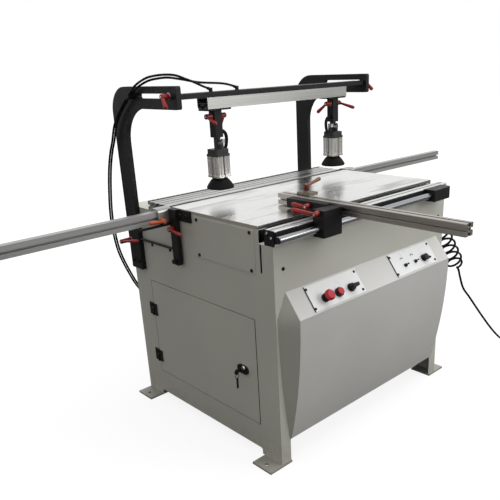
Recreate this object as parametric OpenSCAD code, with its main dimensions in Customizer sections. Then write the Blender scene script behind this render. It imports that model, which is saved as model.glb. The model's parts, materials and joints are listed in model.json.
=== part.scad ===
// Line boring machine with a floor cabinet, a drilling table, an overhead press gantry and fences.
// Millimetres. X runs to the right, Y to the back and Z up; the floor is Z = 0 and the cabinet
// stands with its middle on the Z axis.

/* [Cabinet] */
// Width of the cabinet across its side faces
cab_w = 1000; // [940:10:1100]
// Depth of the cabinet from front face to back face
cab_d = 880; // [860:10:960]
// Thickness of the cabinet's sheet metal
sheet = 3; // [2:0.5:4]
// Height of the arched lower edge of the walls
arch_z = 32; // [28:1:60]
// Width of a leg on the side walls
leg_d = 105; // [80:5:140]
// Width of a leg on the front and back walls
leg_w = 48; // [40:2:60]
// Corner radius of the arches
arch_r = 9; // [5:1:12]
// Thickness of a foot plate
foot_t = 8; // [6:1:12]
// Length of a foot plate along X
foot_l = 110; // [100:2:130]
// Width of a foot plate along Y
foot_w = 100; // [80:2:104]
// Reach of a foot plate past the side wall
foot_out = 62; // [55:1:75]
// Radius of an anchor hole
anchor_r = 7; // [5:0.5:9]
// Distance of an anchor hole outside the side wall
anchor_out = 36; // [30:1:44]
// Distance from the front or back face to an anchor hole
anchor_in = 45; // [38:1:52]

/* [Door] */
// Width of the door
door_w = 654; // [560:2:670]
// Height of the door
door_h = 422; // [380:2:440]
// Height of the door's lower edge
door_z = 136; // [110:2:150]
// Distance from the back face to the door's hinge edge
door_back = 115; // [105:1:130]
// Depth of the door's folded rim
door_rim = 18; // [12:1:24]
// Gap all round the door
door_gap = 3; // [2:0.5:4]
// Height of one hinge
hinge_h = 55; // [40:1:70]
// Width of one hinge leaf
hinge_leaf = 28; // [20:1:32]
// Radius of the hinge barrel
hinge_r = 5; // [4:0.5:6]
// Radius of the hinge pin
hinge_pin_r = 2.5; // [2:0.1:3]

/* [Console] */
// Distance from each side face to the console's front edge
console_in = 48; // [44:1:70]
// Height of the console's upper edge
console_top = 675; // [640:5:700]
// Reach of the console in front of the cabinet
console_out = 67; // [50:1:80]
// Height of the lower edge of the sloped control face
console_brow = 588; // [540:4:600]
// Height of the console's bottom
console_bottom = 102; // [90:2:120]
// Wall of the console
console_wall = 3; // [2:0.5:4]
// Length of one control plate
plate_l = 272; // [240:2:290]
// Height of a control plate along the slope
plate_h = 96; // [86:1:98]
// Thickness of a control plate
plate_t = 2; // [1.5:0.5:3]
// Distance from the middle of the console to the near edge of a plate
plate_near = 100; // [90:1:110]

/* [Controls] */
// Radius of the emergency stop's head
estop_r = 20; // [16:0.5:22]
// Travel of the emergency stop
estop_travel = 5; // [3:0.5:6]
// Radius of the push button
button_r = 13; // [10:0.5:14]
// Radius of the selector
selector_r = 13; // [10:0.5:14]
// Radius of the rotary knob
knob_r = 13; // [10:0.5:15]
// Length of a toggle lever
toggle_l = 16; // [12:1:20]

/* [Table] */
// Height of the table top above the floor
table_top = 900; // [880:5:930]
// Thickness of the table plate
table_t = 12; // [10:1:16]
// Distance from the back face to the line of drills
drill_back = 310; // [300:5:330]
// Width of the slot that the drills come through
slot_w = 30; // [28:1:36]
// Width of the rear table
rear_w = 135; // [120:1:145]
// Height of the rear table's extrusion
rear_h = 32; // [28:1:36]

/* [Front guide] */
// Width of the front rail
rail_d = 46; // [40:1:48]
// Height of the front rail
rail_h = 52; // [46:1:54]
// Radius of the round guide bar
bar_r = 12.5; // [10:0.5:14]
// Distance from the rail to the middle of the guide bar
bar_out = 29; // [26:0.5:34]
// Width of the carriage
carriage_w = 90; // [70:2:110]
// Height of the carriage
carriage_h = 92; // [84:1:100]
// Distance from the left face to the carriage
carriage_x = 178; // [140:2:260]
// Side of the square front fence
fence_a = 40; // [36:1:44]
// Length of the front fence
fence_l = 770; // [600:10:800]
// Distance from the drill line to the fence's back end
fence_back = 320; // [300:5:360]

/* [Side fences] */
// Depth of a side fence
side_d = 30; // [26:1:34]
// Height of a side fence
side_h = 44; // [40:1:52]
// Length of a side fence
side_l = 810; // [700:10:860]
// Length of a fence clamp along X
clamp_l = 60; // [50:2:70]
// Wall of a fence clamp
clamp_wall = 11; // [9:0.5:12]
// Length of the fence bracket's upright
upright_h = 220; // [180:5:240]

/* [Gantry] */
// Thickness of a gantry arm
arm_t = 20; // [16:1:24]
// Width of a gantry arm and its post
arm_w = 78; // [70:1:84]
// Outer corner radius of an arm
arm_r_out = 100; // [80:2:110]
// Inner corner radius of an arm
arm_r_in = 130; // [100:5:140]
// Length of the post on the cabinet's side
post_seat = 263; // [220:5:280]
// Length of the slot in an arm
arm_slot_l = 215; // [180:5:220]
// Width of the slot in an arm
arm_slot_w = 17; // [15:0.5:18]
// Depth of the beam along Y
beam_d = 62; // [56:1:66]
// Height of the beam's bar
beam_h = 18; // [16:1:24]
// Height of the clamp rail under the beam
clamp_rail_h = 40; // [36:1:44]
// Length of the clamp rail
clamp_rail_l = 760; // [700:10:840]
// Distance from the drill line to the press clamps
press_front = 100; // [90:2:110]

/* [Press clamps] */
// Length of a clamp's post, which sets the height of the gantry
clamp_post_l = 97; // [80:1:120]
// Side of a clamp's square post
post_a = 34; // [28:1:38]
// Side of a cylinder barrel
barrel_a = 66; // [58:1:70]
// Length of a cylinder barrel
barrel_h = 86; // [76:2:96]
// Height of a cylinder's head
head_h = 60; // [50:2:66]
// Lower radius of a press pad
pad_r = 52; // [44:1:56]
// Height of a press pad
pad_h = 42; // [34:1:46]
// Travel of a press pad
pad_travel = 45; // [35:1:48]

/* [Drill unit] */
// Distance between spindles
pitch = 32; // [30:0.5:32]
// Radius of a chuck
chuck_r = 10; // [8:0.5:12]
// Radius of a drill
drill_r = 4; // [3:0.5:5]
// Feed of the drill head
feed = 60; // [50:1:60]
// Radius of the motor
motor_r = 80; // [65:1:85]

/* [Levers and hoses] */
// Length of a clamp lever's arm
lever_l = 70; // [60:1:76]
// Radius of a clamp lever's hub
lever_hub_r = 9; // [8:0.5:10]
// Diameter of an air hose
hose_d = 8; // [6:0.5:9]

/* [Hidden] */
$fn = 48;
// Overrun of every cut past the face that it opens
cut = 1;
// Gap between pieces that slide or turn past each other
run = 0.3;
// Radial clearance of a running fit
fit = 0.05;

// Faces and lines that the pieces share
x_side = cab_w / 2;
y_front = -cab_d / 2;
y_back = cab_d / 2;
wall_top = table_top - table_t;
rear_top = table_top - rear_h;
drill_y = y_back - drill_back;
slot_y0 = drill_y - slot_w / 2;
slot_y1 = drill_y + slot_w / 2;
rear_y1 = slot_y1 + rear_w;
press_y = drill_y - press_front;

// Front rail and guide bar
rail_proud = 6;
rail_rise = 6;
rail_gap = 30;
rail_y0 = y_front - rail_proud;
rail_y1 = rail_y0 + rail_d;
rail_z1 = wall_top + rail_rise;
rail_z0 = rail_z1 - rail_h;
table_y0 = rail_y1 + rail_gap;
cap_t = 4;
bar_y = rail_y0 - bar_out;
bar_share = 0.56;
bar_z = rail_z0 + rail_h * bar_share;
bar_left_out = 8;
bar_chamfer = 2;
web_t = 8;
web_foot_t = 5;
web_foot_h = 40;
end_block_l = 120;
end_block_right = 45;
end_block_y = 24;
end_block_h = 46;
end_block_r = 18;
bar_end_wall = 14;

// Grooves of the aluminium extrusions
groove_mouth = 8;
groove_lip = 4;
groove_in = 16;
groove_deep = 11;
core_r = 4;
rear_groove_shares = [0.25, 0.5, 0.75];
rear_core_shares = [0.125, 0.375, 0.625];
side_core_shares = [0.16, 0.8];
cell_wall = 4;
profile_r = 2;

// Cabinet details
flange_w = 40;
pan_rise = 2;
front_arch_gap = 2;
front_arch_z = console_bottom - front_arch_gap;
cable_slot_w = 10;
cable_slot_h = 102;
cable_slot_in = 56;
console_hole_in = 90;
console_hole_up = 60;
louvre_n = 8;
louvre_l = 120;
louvre_h = 6;
louvre_step = 22;
louvre_z = 300;
cover_t = 2;
cover_h = 152;
cover_front = 88;
cover_down = 5;
cover_gap = 14;

// Door, hinges and lock
door_y1 = y_back - door_back;
door_y0 = door_y1 - door_w;
leaf_t = 3;
hinge_x = -x_side - hinge_r;
hinge_y = door_y1 + door_gap / 2;
hinge_shares = [0.11, 0.63];
lock_in = 77;
lock_up = 204;
lock_r = 8;
lock_plate_r = 17;
lock_plate_l = 26;
lock_plate_t = 6;
lock_proud = 3;
lock_nose_gap = 3;
cam_l = 52;
cam_w = 18;
cam_t = 3;
key_t = 2.4;
key_bow_r = 11;
key_stem_l = 14;
key_stem_w = 7;
key_ring_r = 8;
key_wire_r = 1.2;
key_blade_l = 40;
key_blade_w = 8;
key_ring_hang = 8;

// Console profile and the frame of its sloped face
console_x = x_side - console_in;
console_toe = 5;
console_steps = 12;
console_flare_share = 0.6;
slope_l = norm([console_out, console_top - console_brow]);
slope_turn = atan2(console_top - console_brow, console_out);
plate_margin = (slope_l - plate_h) / 2;
control_s = 69;

// Controls, measured from the middle of the console
estop_x = -303;
button_x = -232;
selector_x = -164;
toggle_xs = [172, 240];
knob_x = 298;
estop_collar_r = 16;
estop_collar_h = 12;
estop_stem_r = 9;
estop_neck = 8;
estop_head_h = 16;
estop_dome = 5;
button_ring_r = 17;
button_ring_h = 11;
button_proud = 8;
button_travel = 3;
selector_ring_h = 5;
selector_ring_r = 16;
selector_stem_r = 6;
selector_h = 10;
selector_grip_w = 8;
selector_grip_out = 9;
selector_grip_h = 10;
knob_stem_r = 4;
knob_base_r = 15;
knob_base_h = 3;
knob_h = 16;
knob_mark_w = 7;
knob_mark_out = 12;
knob_rest = -20;
toggle_nut_r = 8;
toggle_nut_h = 6;
toggle_ball_r = 3.8;
toggle_neck_r = 1.8;
toggle_tip_r = 3;
toggle_pivot = 3.9;
toggle_pin_r = 1.4;
toggle_pin_l = 5.3;

// Front carriage, fence and stop
carriage_d = 50;
carriage_drop = 30;
carriage_x0 = -x_side + carriage_x;
carriage_x1 = carriage_x0 + carriage_w;
carriage_y0 = bar_y - carriage_d / 2;
carriage_y1 = bar_y + carriage_d / 2;
carriage_z0 = bar_z - carriage_drop;
fence_lift = 3;
fence_x0 = carriage_x1 + run;
fence_x1 = fence_x0 + fence_a;
fence_y1 = drill_y - fence_back;
fence_y0 = fence_y1 - fence_l;
fence_z0 = table_top + fence_lift;
fence_z1 = fence_z0 + fence_a;
nut_neck = 7.2;
nut_head = 14;
nut_head_t = 5;
nut_l = 44;
carriage_lever_share = 0.5;
carriage_lever_z = fence_z0 + fence_a * carriage_lever_share;
carriage_slack = 0.9;
saddle_t = 26;
saddle_l = 188;
saddle_h = 33;
saddle_lift = 2;
saddle_y1 = carriage_y1 + saddle_l;
saddle_lever_in = 78;
saddle_lever_share = 0.55;
stop_l = 63;
stop_h = 10;
stop_in = 22;
stop_out = 26;
stop_side_t = 6;
stop_drop = 26;
stop_back = 77;
stop_lever_boss = 12;

// Side fences, their clamps and brackets
bracket_t = 8;
bracket_l = 158;
bracket_h = 43;
bracket_back = 20;
bracket_down = 1;
bracket_y0 = drill_y + bracket_back - bracket_l;
cover_l = bracket_y0 - cover_gap - y_front - cover_front;
fence_start = 4;
side_x0 = x_side + bracket_t + fence_start;
side_y0 = drill_y - side_d / 2;
side_down = 8;
side_z0 = table_top - side_down - side_h;
side_groove_share = 0.45;
clamp_r = 14;
upright_w = 40;
upright_t = 16;
upright_gap = 2;
upright_y1 = side_y0 - clamp_wall - upright_gap;
upright_y0 = upright_y1 - upright_w;
upright_r = 12;
stay_r = 5;
stay_out = 12;
stay_x = x_side + stay_out;
stay_down = 162;
knob_down = 202;
star_r = 9;
star_t = 16;
fence_lever_share = 0.23;
fence_lever_out_share = 0.8;
upright_lever_down = 75;
post_lever_down = 155;
post_lever_in = 16;
post_lever_hub = 40;

// Press clamps, from the table up to the rail that they hang on
press_clear = 8.2;
pad_gap = 1.5;
pad_top_r = 33;
pad_rim = 9;
pad_dome_shares = [[0.97, 0.35], [0.85, 0.6], [0.58, 0.82], [0.26, 0.95]];
pad_z0 = table_top + pad_travel + press_clear;
pad_z1 = pad_z0 + pad_h;
barrel_z0 = pad_z1 + pad_gap;
head_z0 = barrel_z0 + barrel_h;
head_z1 = head_z0 + head_h;
slide_l = 110;
slide_d = 54;
slide_t = 6;
slide_z0 = head_z1 + clamp_post_l;
press_in = 55;
press_x = clamp_rail_l / 2 - press_in;
head_a = 56;
head_boss_r = 13;
head_block_share = 0.3;
barrel_cap_a = 68;
barrel_cap_t = 8;
barrel_r = 10;
flute_r = 4;
flute_n = 3;
fitting_r = 8;
fitting_h = 34;
fitting_out = 19;
rod_r = 8;
rod_stay = 24;
clamp_lever_down = 12;

// Gantry arms, beam and clamp rail
post_back = 12;
post_y1 = y_back - post_back;
post_y0 = post_y1 - arm_w;
post_z0 = rear_top - post_seat;
arm_front = 44;
arm_y0 = press_y - arm_front;
clamp_rail_z0 = slide_z0 + slide_t + run;
beam_y0 = press_y - beam_d / 2;
beam_z0 = clamp_rail_z0 + clamp_rail_h;
arm_slot_down = 33;
slot_over = 4;
arm_slot_front = 2;
arm_slot_z = beam_z0 + beam_h / 2 + slot_over;
arm_top = arm_slot_z + arm_slot_down;
arm_z0 = arm_top - arm_w;
arm_end_r = 8;
stud_r = 6;
clamp_rail_r = 9;
cell_low_share = 0.3;
cell_high_share = 0.72;
port_r = 7;
port_h = 14;
port_up = 8.2;
port_lean = 20;
nozzle_r = 5.5;
nozzle_l = 14;
port_way = [-cos(port_lean), 0, sin(port_lean)];
port_z = beam_z0 + beam_h + port_up;
port_ins = [162, 286];
port_xs = [for (p = port_ins) p - x_side];

// Drill unit
gear_w = 70;
gear_h = 90;
gear_down = 200;
gear_z0 = table_top - gear_down;
gear_side = 180;
gear_end = 40;
spindle_half = round((x_side - gear_side) / pitch);
spindle_n = 2 * spindle_half + 1;
gear_x = spindle_half * pitch + gear_end;
gear_r = 10;
shaft_r = 8;
shaft_h = 24;
chuck_h = 26;
tip_down = 7;
tip_h = 3;
spindle_z = gear_z0 + gear_h;
drill_z1 = table_top - tip_down;
spindle_seat = 40;
ear_in = 17;
ear_x1 = x_side - sheet - ear_in;
ear_h = 40;
column_r = 15;
column_in = 87;
column_x = x_side - sheet - column_in;
cylinder_in = 45;
cylinder_x = x_side - sheet - cylinder_in;
unit_foot_h = 30;
unit_foot_down = 300;
unit_foot_z1 = table_top - unit_foot_down;
unit_foot_l = 120;
column_up = 60;
feed_r = 18;
feed_h = 70;
feed_rod_r = 7;
motor_h = 210;
motor_flange_r = 90;
motor_flange_t = 14;
motor_fin_n = 24;
motor_fin_h = 5;
motor_fin_t = 4;
fin_foot_share = 0.9;
fin_share = 0.75;
motor_box_w = 90;
motor_box_d = 40;
motor_box_h = 80;

// Electrics behind the door
panel_in = 100;
panel_t = 3;
panel_w = 520;
panel_z1 = 520;
din_t = 10;
din_h = 35;
device_zs = [200, 330, 450];
device_h = 80;
device_d = 62;
device_w = 54;
device_n = 5;
device_step = 84;

// Levers
lever_hub_h = 22;
lever_r1 = 4;
lever_r2 = 6;
lever_lift = 12;
long_lever_l = 86;
long_lever_share = 1.3;
short_lever_l = 52;
carriage_lever_turn = 86;
saddle_lever_turn = 85;
upright_lever_turn = -98;
post_lever_turn = -98;
fence_lever_turn = 7;
beam_lever_turn = -15;
press_lever_turns = [130, -52];
lever_gap = run;

// Air hoses from the cabinet's back to the gantry, and the side hose with its coupling
hose_r = hose_d / 2;
hose_sides = 8;
hose_steps = 4;
hose_pair = 10;
gland_in = 35;
gland_r = 4.6;
gland_h = 14;
gland_z = 470;
gland_x = gland_in - x_side;
clip_w = 18;
clip_t = 28;
clip_h = 20;
clip_turn = 33;
clip_fore = 88;
clip_down = 31;
clip_y = post_y0 - clip_fore;
clip_z = arm_top - clip_down;
clip_way = [0, -cos(clip_turn), sin(clip_turn)];
clip_near = 11;
clip_x = -x_side - arm_t - clip_near;
hose_lead = 8;
// Rising hoses: steps out of the left and back faces, and shares of the height from gland to clip
up_steps = [[35, 14], [35, 22], [20, 60], [-20, 72], [-36, 72], [-41, 66], [-38, 55], [-34, 37], [-31, 13],
    [-31, -14], [-31, -48], [-31, -97], [-31, -147]];
up_shares = [0, 0, 0.0602, 0.2046, 0.3249, 0.4332, 0.5487, 0.6582, 0.7389, 0.7918, 0.8688, 0.929, 0.9759];
hose_up = concat(
    [for (i = [0 : len(up_shares) - 1])
        [up_steps[i][0] - x_side, up_steps[i][1] + y_back, gland_z + (clip_z - gland_z) * up_shares[i]]],
    [for (l = [clip_h / 2 + hose_lead, clip_h / 2]) [clip_x, clip_y, clip_z] - l * clip_way]);
// Hoses over the arm: shares of the way back from port to clip, and rises over the arm's edge
over_shares = [[1, 0.7826], [1, 0.4741], [0.9421, 0.2773], [0.7842, 0.161], [0.6263, 0.0894],
    [0.4684, 0.0447], [0.3105, 0.0134], [0.1632, 0]];
over_rises = [5, 27, 35, 37, 33, 21, 9, -3.5];
far_shares = [[1, 0.7826], [0.9967, 0.4919], [0.9572, 0.3131], [0.8454, 0.2147], [0.6776, 0.161],
    [0.4737, 0.1118], [0.2171, 0.0537], [0.1151, 0.0179]];
far_rises = [-1, 18, 25, 27, 18.5, 6, -0.5, -5];
curl_n = 6;
curl_rings = 8;
curl_sides = 6;
curl_r = 36;
curl_ramp = 4;
curl_lead = 10;
curl_start = 12;
side_port_in = 40;
side_port_down = 210;
side_port_l = 22;
side_port_r = 11;
side_port_y = y_front + side_port_in;
side_port_z = table_top - side_port_down;
curl_from = [x_side + side_port_l + curl_start, side_port_y, side_port_z];
curl_step = [130, -30, -212];
curl_to = curl_from + curl_step;
coupling_r = 10;
coupling_l = 46;
// Tail: steps out of the right and front faces, and shares of the height of the curls' end
tail_steps = [[184, 3], [206, -5], [255, -14], [326, -26], [400, -42], [447, -60], [485, -77], [520, -90]];
tail_shares = [0.887, 0.7657, 0.6444, 0.4665, 0.2803, 0.1569, 0.0711, 0.0293];
tail_end_steps = [[546, -99], [566, -106]];
tail_route = concat(
    [for (i = [0 : len(tail_shares) - 1])
        [tail_steps[i][0] + x_side, tail_steps[i][1] + y_front, tail_shares[i] * curl_to[2]]],
    [for (s = tail_end_steps) [s[0] + x_side, s[1] + y_front, coupling_r]]);

// A box between two opposite corners
module between(lo, hi) {
    translate(lo) cube(hi - lo);
}

// A 2D shape in Y and Z, carried along X
module along_x(x0, x1) {
    translate([x0, 0, 0]) rotate([90, 0, 90]) linear_extrude(x1 - x0) children();
}

// A 2D shape in X and Z, carried along Y
module along_y(y0, y1) {
    translate([0, y1, 0]) rotate([90, 0, 0]) linear_extrude(y1 - y0) children();
}

module rod_x(r, x0, x1, y, z) {
    translate([x0, y, z]) rotate([0, 90, 0]) cylinder(r = r, h = x1 - x0);
}

module rod_y(r, y0, y1, x, z) {
    translate([x, y1, z]) rotate([90, 0, 0]) cylinder(r = r, h = y1 - y0);
}

module rod_z(r, z0, z1, x, y) {
    translate([x, y, z0]) cylinder(r = r, h = z1 - z0);
}

// Both sides of the machine
module both_sides() {
    children();
    mirror([1, 0, 0]) children();
}

// A rectangle with round corners, from its lower left corner
module round_rect(size, r) {
    translate([r, 0]) square([size[0] - 2 * r, size[1]]);
    translate([0, r]) square([size[0], size[1] - 2 * r]);
    for (x = [r, size[0] - r], y = [r, size[1] - r]) translate([x, y]) circle(r);
}

// A straight slot with round ends, from one end's middle to the other's
module slot_2d(from, to, w) {
    length = norm(to - from);
    turn = atan2(to[1] - from[1], to[0] - from[0]);
    translate(from) rotate(turn) {
        circle(w / 2);
        translate([0, -w / 2]) square([length, w]);
        translate([length, 0]) circle(w / 2);
    }
}

// The opening under an arched wall: top corners round, foot open
module arch_2d(l, h, r) {
    translate([-l / 2, 0]) square([l, h - r]);
    translate([r - l / 2, 0]) square([l - 2 * r, h]);
    for (s = [-1, 1]) translate([s * (l / 2 - r), h - r]) circle(r);
}

// A T groove that opens at the origin and runs into +X
module groove_2d() {
    translate([-cut, -groove_mouth / 2]) square([groove_lip + 2 * cut, groove_mouth]);
    translate([groove_lip, -groove_in / 2]) square([groove_deep - groove_lip, groove_in]);
}

// A clamp lever on its hub, which stands along +Z; the arm leans out along +X
module clamp_lever(hub_h, l = lever_l, bulk_share = 1) {
    r1 = lever_r1 * bulk_share;
    r2 = lever_r2 * bulk_share;
    cylinder(r = lever_hub_r, h = hub_h);
    translate([0, 0, hub_h - lever_r2]) rotate([0, 90 - lever_lift, 0]) {
        cylinder(r1 = r1, r2 = r2, h = l);
        translate([0, 0, l]) sphere(r2);
    }
}

// The frame of the sloped control face: X as it is, Y up the slope, Z out of it
module on_slope(x, s) {
    translate([x, y_front, console_top]) rotate([slope_turn, 0, 0]) translate([0, -s, plate_t])
        children();
}

function unit(v) = v / norm(v);
function tangent(p, i) = unit(p[min(i + 1, len(p) - 1)] - p[max(i - 1, 0)]);
function ring(p, i, r, n, ref) =
    let (t = tangent(p, i), a = unit(ref - (ref * t) * t), b = cross(t, a))
    [for (k = [0 : n - 1]) p[i] + r * (cos(360 * k / n) * a + sin(360 * k / n) * b)];

// A point of the smooth curve through p, at share u of the stretch after point i; its ends are straight
function curve_point(p, i, u) =
    let (a = p[max(i - 1, 0)], b = p[i], c = p[i + 1], d = p[min(i + 2, len(p) - 1)])
    b + u / 2 * ((c - a) + u * ((2 * a - 5 * b + 4 * c - d) + u * (3 * b - a - 3 * c + d)));
function curve(p, steps) = concat(
    [p[0]], [for (i = [1 : len(p) - 3], k = [0 : steps - 1]) curve_point(p, i, k / steps)],
    [p[len(p) - 2], p[len(p) - 1]]);
// A hose from the clip to a port, straight at both ends
function over_route(x0, x1, shares, rises) =
    let (from = [x0, clip_y, clip_z] + clip_h / 2 * clip_way,
        to = [x1, press_y, port_z] + nozzle_l * port_way, back = from - to)
    concat([from + run * clip_way, from + hose_lead * clip_way],
        [for (i = [0 : len(rises) - 1])
            [to[0] + shares[i][0] * back[0], to[1] + shares[i][1] * back[1], arm_top + rises[i]]],
        [to + hose_lead * port_way, to]);

// A round tube of n sides along the points of p
module tube(p, r, n, ref) {
    m = len(p);
    points = [for (i = [0 : m - 1]) each ring(p, i, r, n, ref)];
    wall = [for (i = [0 : m - 2], k = [0 : n - 1]) let (q = (k + 1) % n, a = i * n, b = a + n)
        each [[a + k, b + k, b + q], [a + k, b + q, a + q]]];
    near = [for (k = [1 : n - 2]) [0, k, k + 1]];
    far = [for (k = [1 : n - 2]) [(m - 1) * n, (m - 1) * n + k + 1, (m - 1) * n + k]];
    polyhedron(points, concat(wall, near, far));
}

// Outline of a side wall in Y and Z
module side_outline() {
    difference() {
        translate([y_front, foot_t]) square([cab_d, wall_top - foot_t]);
        translate([y_front - cut, rail_z0]) square([table_y0 - y_front + cut, table_top]);
        translate([slot_y0, rear_top]) square([cab_d, table_top]);
        arch_2d(cab_d - 2 * leg_d, arch_z, arch_r);
        translate([y_front + cable_slot_in, rail_z0 - cable_slot_h])
            square([cable_slot_w, cable_slot_h + cut]);
    }
}

module cabinet_shell() color("gainsboro") {
    pan_z = front_arch_z + pan_rise;
    // Side walls, the left one with the door opening
    difference() {
        along_x(-x_side, sheet - x_side) side_outline();
        between([-x_side - cut, door_y0 - door_gap, door_z - door_gap],
            [sheet + cut - x_side, door_y1 + door_gap, door_z + door_h + door_gap]);
    }
    along_x(x_side - sheet, x_side) side_outline();
    // Front wall with the opening behind the console
    along_y(y_front, y_front + sheet) difference() {
        translate([-x_side, foot_t]) square([cab_w, rail_z0 - foot_t]);
        arch_2d(cab_w - 2 * leg_w, front_arch_z, arch_r);
        translate([console_hole_in - x_side, console_bottom + console_hole_up])
            square([cab_w - 2 * console_hole_in, console_brow - console_bottom - 2 * console_hole_up]);
    }
    // Back wall with louvres
    along_y(y_back - sheet, y_back) difference() {
        translate([-x_side, foot_t]) square([cab_w, rear_top - foot_t]);
        arch_2d(cab_w - 2 * leg_w, arch_z, arch_r);
        for (s = [-1, 1], i = [0 : louvre_n - 1])
            translate([s * x_side / 2 - louvre_l / 2, louvre_z + i * louvre_step])
                square([louvre_l, louvre_h]);
    }
    // Floor pan, rear top and the flanges under the table
    between([-x_side, y_front, pan_z], [x_side, y_back, pan_z + sheet]);
    between([-x_side, rear_y1, rear_top - sheet], [x_side, y_back, rear_top]);
    between([-x_side, y_front, rail_z0 - sheet], [x_side, table_y0, rail_z0]);
    both_sides() {
        between([-x_side, table_y0, wall_top - sheet], [flange_w - x_side, slot_y0, wall_top]);
        between([-x_side, slot_y1, rear_top - sheet], [flange_w - x_side, y_back, rear_top]);
    }
}

// Foot plates with their anchor holes
module feet() color("gainsboro") for (sx = [-1, 1], sy = [-1, 1]) difference() {
    translate([sx * (x_side + foot_out - foot_l / 2), sy * (y_back - anchor_in), foot_t / 2])
        cube([foot_l, foot_w, foot_t], center = true);
    translate([sx * (x_side + anchor_out), sy * (y_back - anchor_in), -cut])
        cylinder(r = anchor_r, h = foot_t + 2 * cut);
}

module side_covers() color("gainsboro") both_sides()
    along_x(-x_side - cover_t, -x_side)
        translate([y_front + cover_front, wall_top - cover_down - cover_h])
            round_rect([cover_l, cover_h], cover_t);

// Depth of the console's front at a height, a parabola that comes in from the brow to the toe
function console_depth(z) =
    console_out - (console_out - console_toe) * pow((console_brow - z) / (console_brow - console_bottom), 2);
function console_outline(inset) = concat(
    [[inset > 0 ? -cut : 0, console_bottom + inset]],
    [for (i = [0 : console_steps]) let (z = console_bottom + inset
        + (console_brow - console_bottom - 2 * inset) * i / console_steps) [console_depth(z) - inset, z]],
    [[inset > 0 ? -cut : 0, console_top - 2 * inset]]);

// What lies behind the flared left side, which runs back from the front edge to the cabinet
module console_flare() {
    turn = atan(console_flare_share);
    translate([-console_x, y_front, 0]) rotate([90, 0, turn]) linear_extrude(2 * cab_w, center = true)
        polygon(concat([[2 * cab_w, console_bottom]],
            [for (p = console_outline(0)) [-p[0] * sin(turn), p[1]]], [[2 * cab_w, console_top]]));
}

module console_housing() color("whitesmoke") difference() {
    intersection() {
        along_x(-x_side, x_side) polygon([for (p = console_outline(0)) [y_front - p[0], p[1]]]);
        console_flare();
        mirror([1, 0, 0]) console_flare();
    }
    along_x(console_wall - console_x, console_x - console_wall)
        polygon([for (p = console_outline(console_wall)) [y_front - p[0], p[1]]]);
}

module control_plates() color("silver")
    for (s = [-1, 1]) on_slope(s * (plate_near + plate_l / 2), slope_l / 2)
        translate([0, 0, -plate_t / 2]) cube([plate_l, plate_h, plate_t], center = true);

module ring_bezel(r, bore, h) difference() {
    cylinder(r = r, h = h);
    translate([0, 0, -cut]) cylinder(r = bore + fit, h = h + 2 * cut);
}

module control_bezels() color("dimgray") {
    on_slope(estop_x, control_s) ring_bezel(estop_collar_r, estop_stem_r, estop_collar_h);
    on_slope(button_x, control_s) ring_bezel(button_ring_r, button_r, button_ring_h);
    on_slope(selector_x, control_s) ring_bezel(selector_ring_r, selector_stem_r, selector_ring_h);
    on_slope(knob_x, control_s) ring_bezel(knob_base_r, knob_stem_r, knob_base_h);
    for (x = toggle_xs) on_slope(x, control_s) difference() {
        cylinder(r = toggle_nut_r, h = toggle_nut_h, $fn = 6);
        translate([0, 0, -cut]) cylinder(r = toggle_ball_r + fit, h = toggle_nut_h + 2 * cut);
        rod_x(toggle_pin_r + fit, -toggle_pin_l - run, toggle_pin_l + run, 0, toggle_pivot);
    }
}

module estop_button() color("firebrick") on_slope(estop_x, control_s) {
    foot = estop_travel + run;
    neck = estop_collar_h + estop_travel + run;
    translate([0, 0, foot]) cylinder(r = estop_stem_r, h = neck - foot);
    translate([0, 0, neck]) cylinder(r1 = estop_stem_r, r2 = estop_r, h = estop_neck);
    translate([0, 0, neck + estop_neck]) cylinder(r = estop_r, h = estop_head_h - estop_neck);
    translate([0, 0, neck + estop_head_h])
        cylinder(r1 = estop_r, r2 = estop_r - estop_dome, h = estop_dome);
}

module stop_button() color("firebrick") on_slope(button_x, control_s)
    translate([0, 0, button_travel + run])
        cylinder(r = button_r, h = button_ring_h + button_proud - button_travel - run);

module selector_knob() color("black") on_slope(selector_x, control_s) {
    translate([0, 0, run]) cylinder(r = selector_stem_r, h = selector_ring_h);
    translate([0, 0, selector_ring_h + run]) cylinder(r = selector_r, h = selector_h);
    translate([-selector_r, -selector_grip_w / 2, selector_ring_h + run])
        cube([2 * selector_r + selector_grip_out, selector_grip_w, selector_h + selector_grip_h]);
}

module rotary_knob() color("black") on_slope(knob_x, control_s) {
    translate([0, 0, run]) cylinder(r = knob_stem_r, h = knob_base_h);
    translate([0, 0, knob_base_h + run]) cylinder(r = knob_r, h = knob_h);
    rotate([0, 0, knob_rest]) translate([0, -knob_mark_w / 2, knob_base_h + run])
        cube([knob_r + knob_mark_out, knob_mark_w, knob_h]);
}

module toggle(x) color("black") on_slope(x, control_s) translate([0, 0, toggle_pivot]) {
    sphere(toggle_ball_r);
    rod_x(toggle_pin_r, -toggle_pin_l, toggle_pin_l, 0, 0);
    cylinder(r1 = toggle_neck_r, r2 = toggle_tip_r, h = toggle_l);
    translate([0, 0, toggle_l]) sphere(toggle_tip_r);
}

module left_toggle() toggle(toggle_xs[0]);
module right_toggle() toggle(toggle_xs[1]);

// Height of the foot of a hinge
function hinge_z(i) = door_z + door_h * hinge_shares[i];

module door_hinges() color("black") for (i = [0, 1]) translate([0, 0, hinge_z(i)]) {
    third = hinge_h / 3;
    between([-x_side - leaf_t, hinge_y + hinge_r + run, 0], [-x_side, hinge_y + hinge_leaf, hinge_h]);
    for (z = [0, 2 * third]) {
        between([-x_side - leaf_t, hinge_y, z], [-x_side, hinge_y + hinge_r + cut, z + third]);
        translate([hinge_x, hinge_y, z]) cylinder(r = hinge_r, h = third);
    }
    translate([hinge_x, hinge_y, 0]) cylinder(r = hinge_pin_r, h = hinge_h);
}

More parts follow.
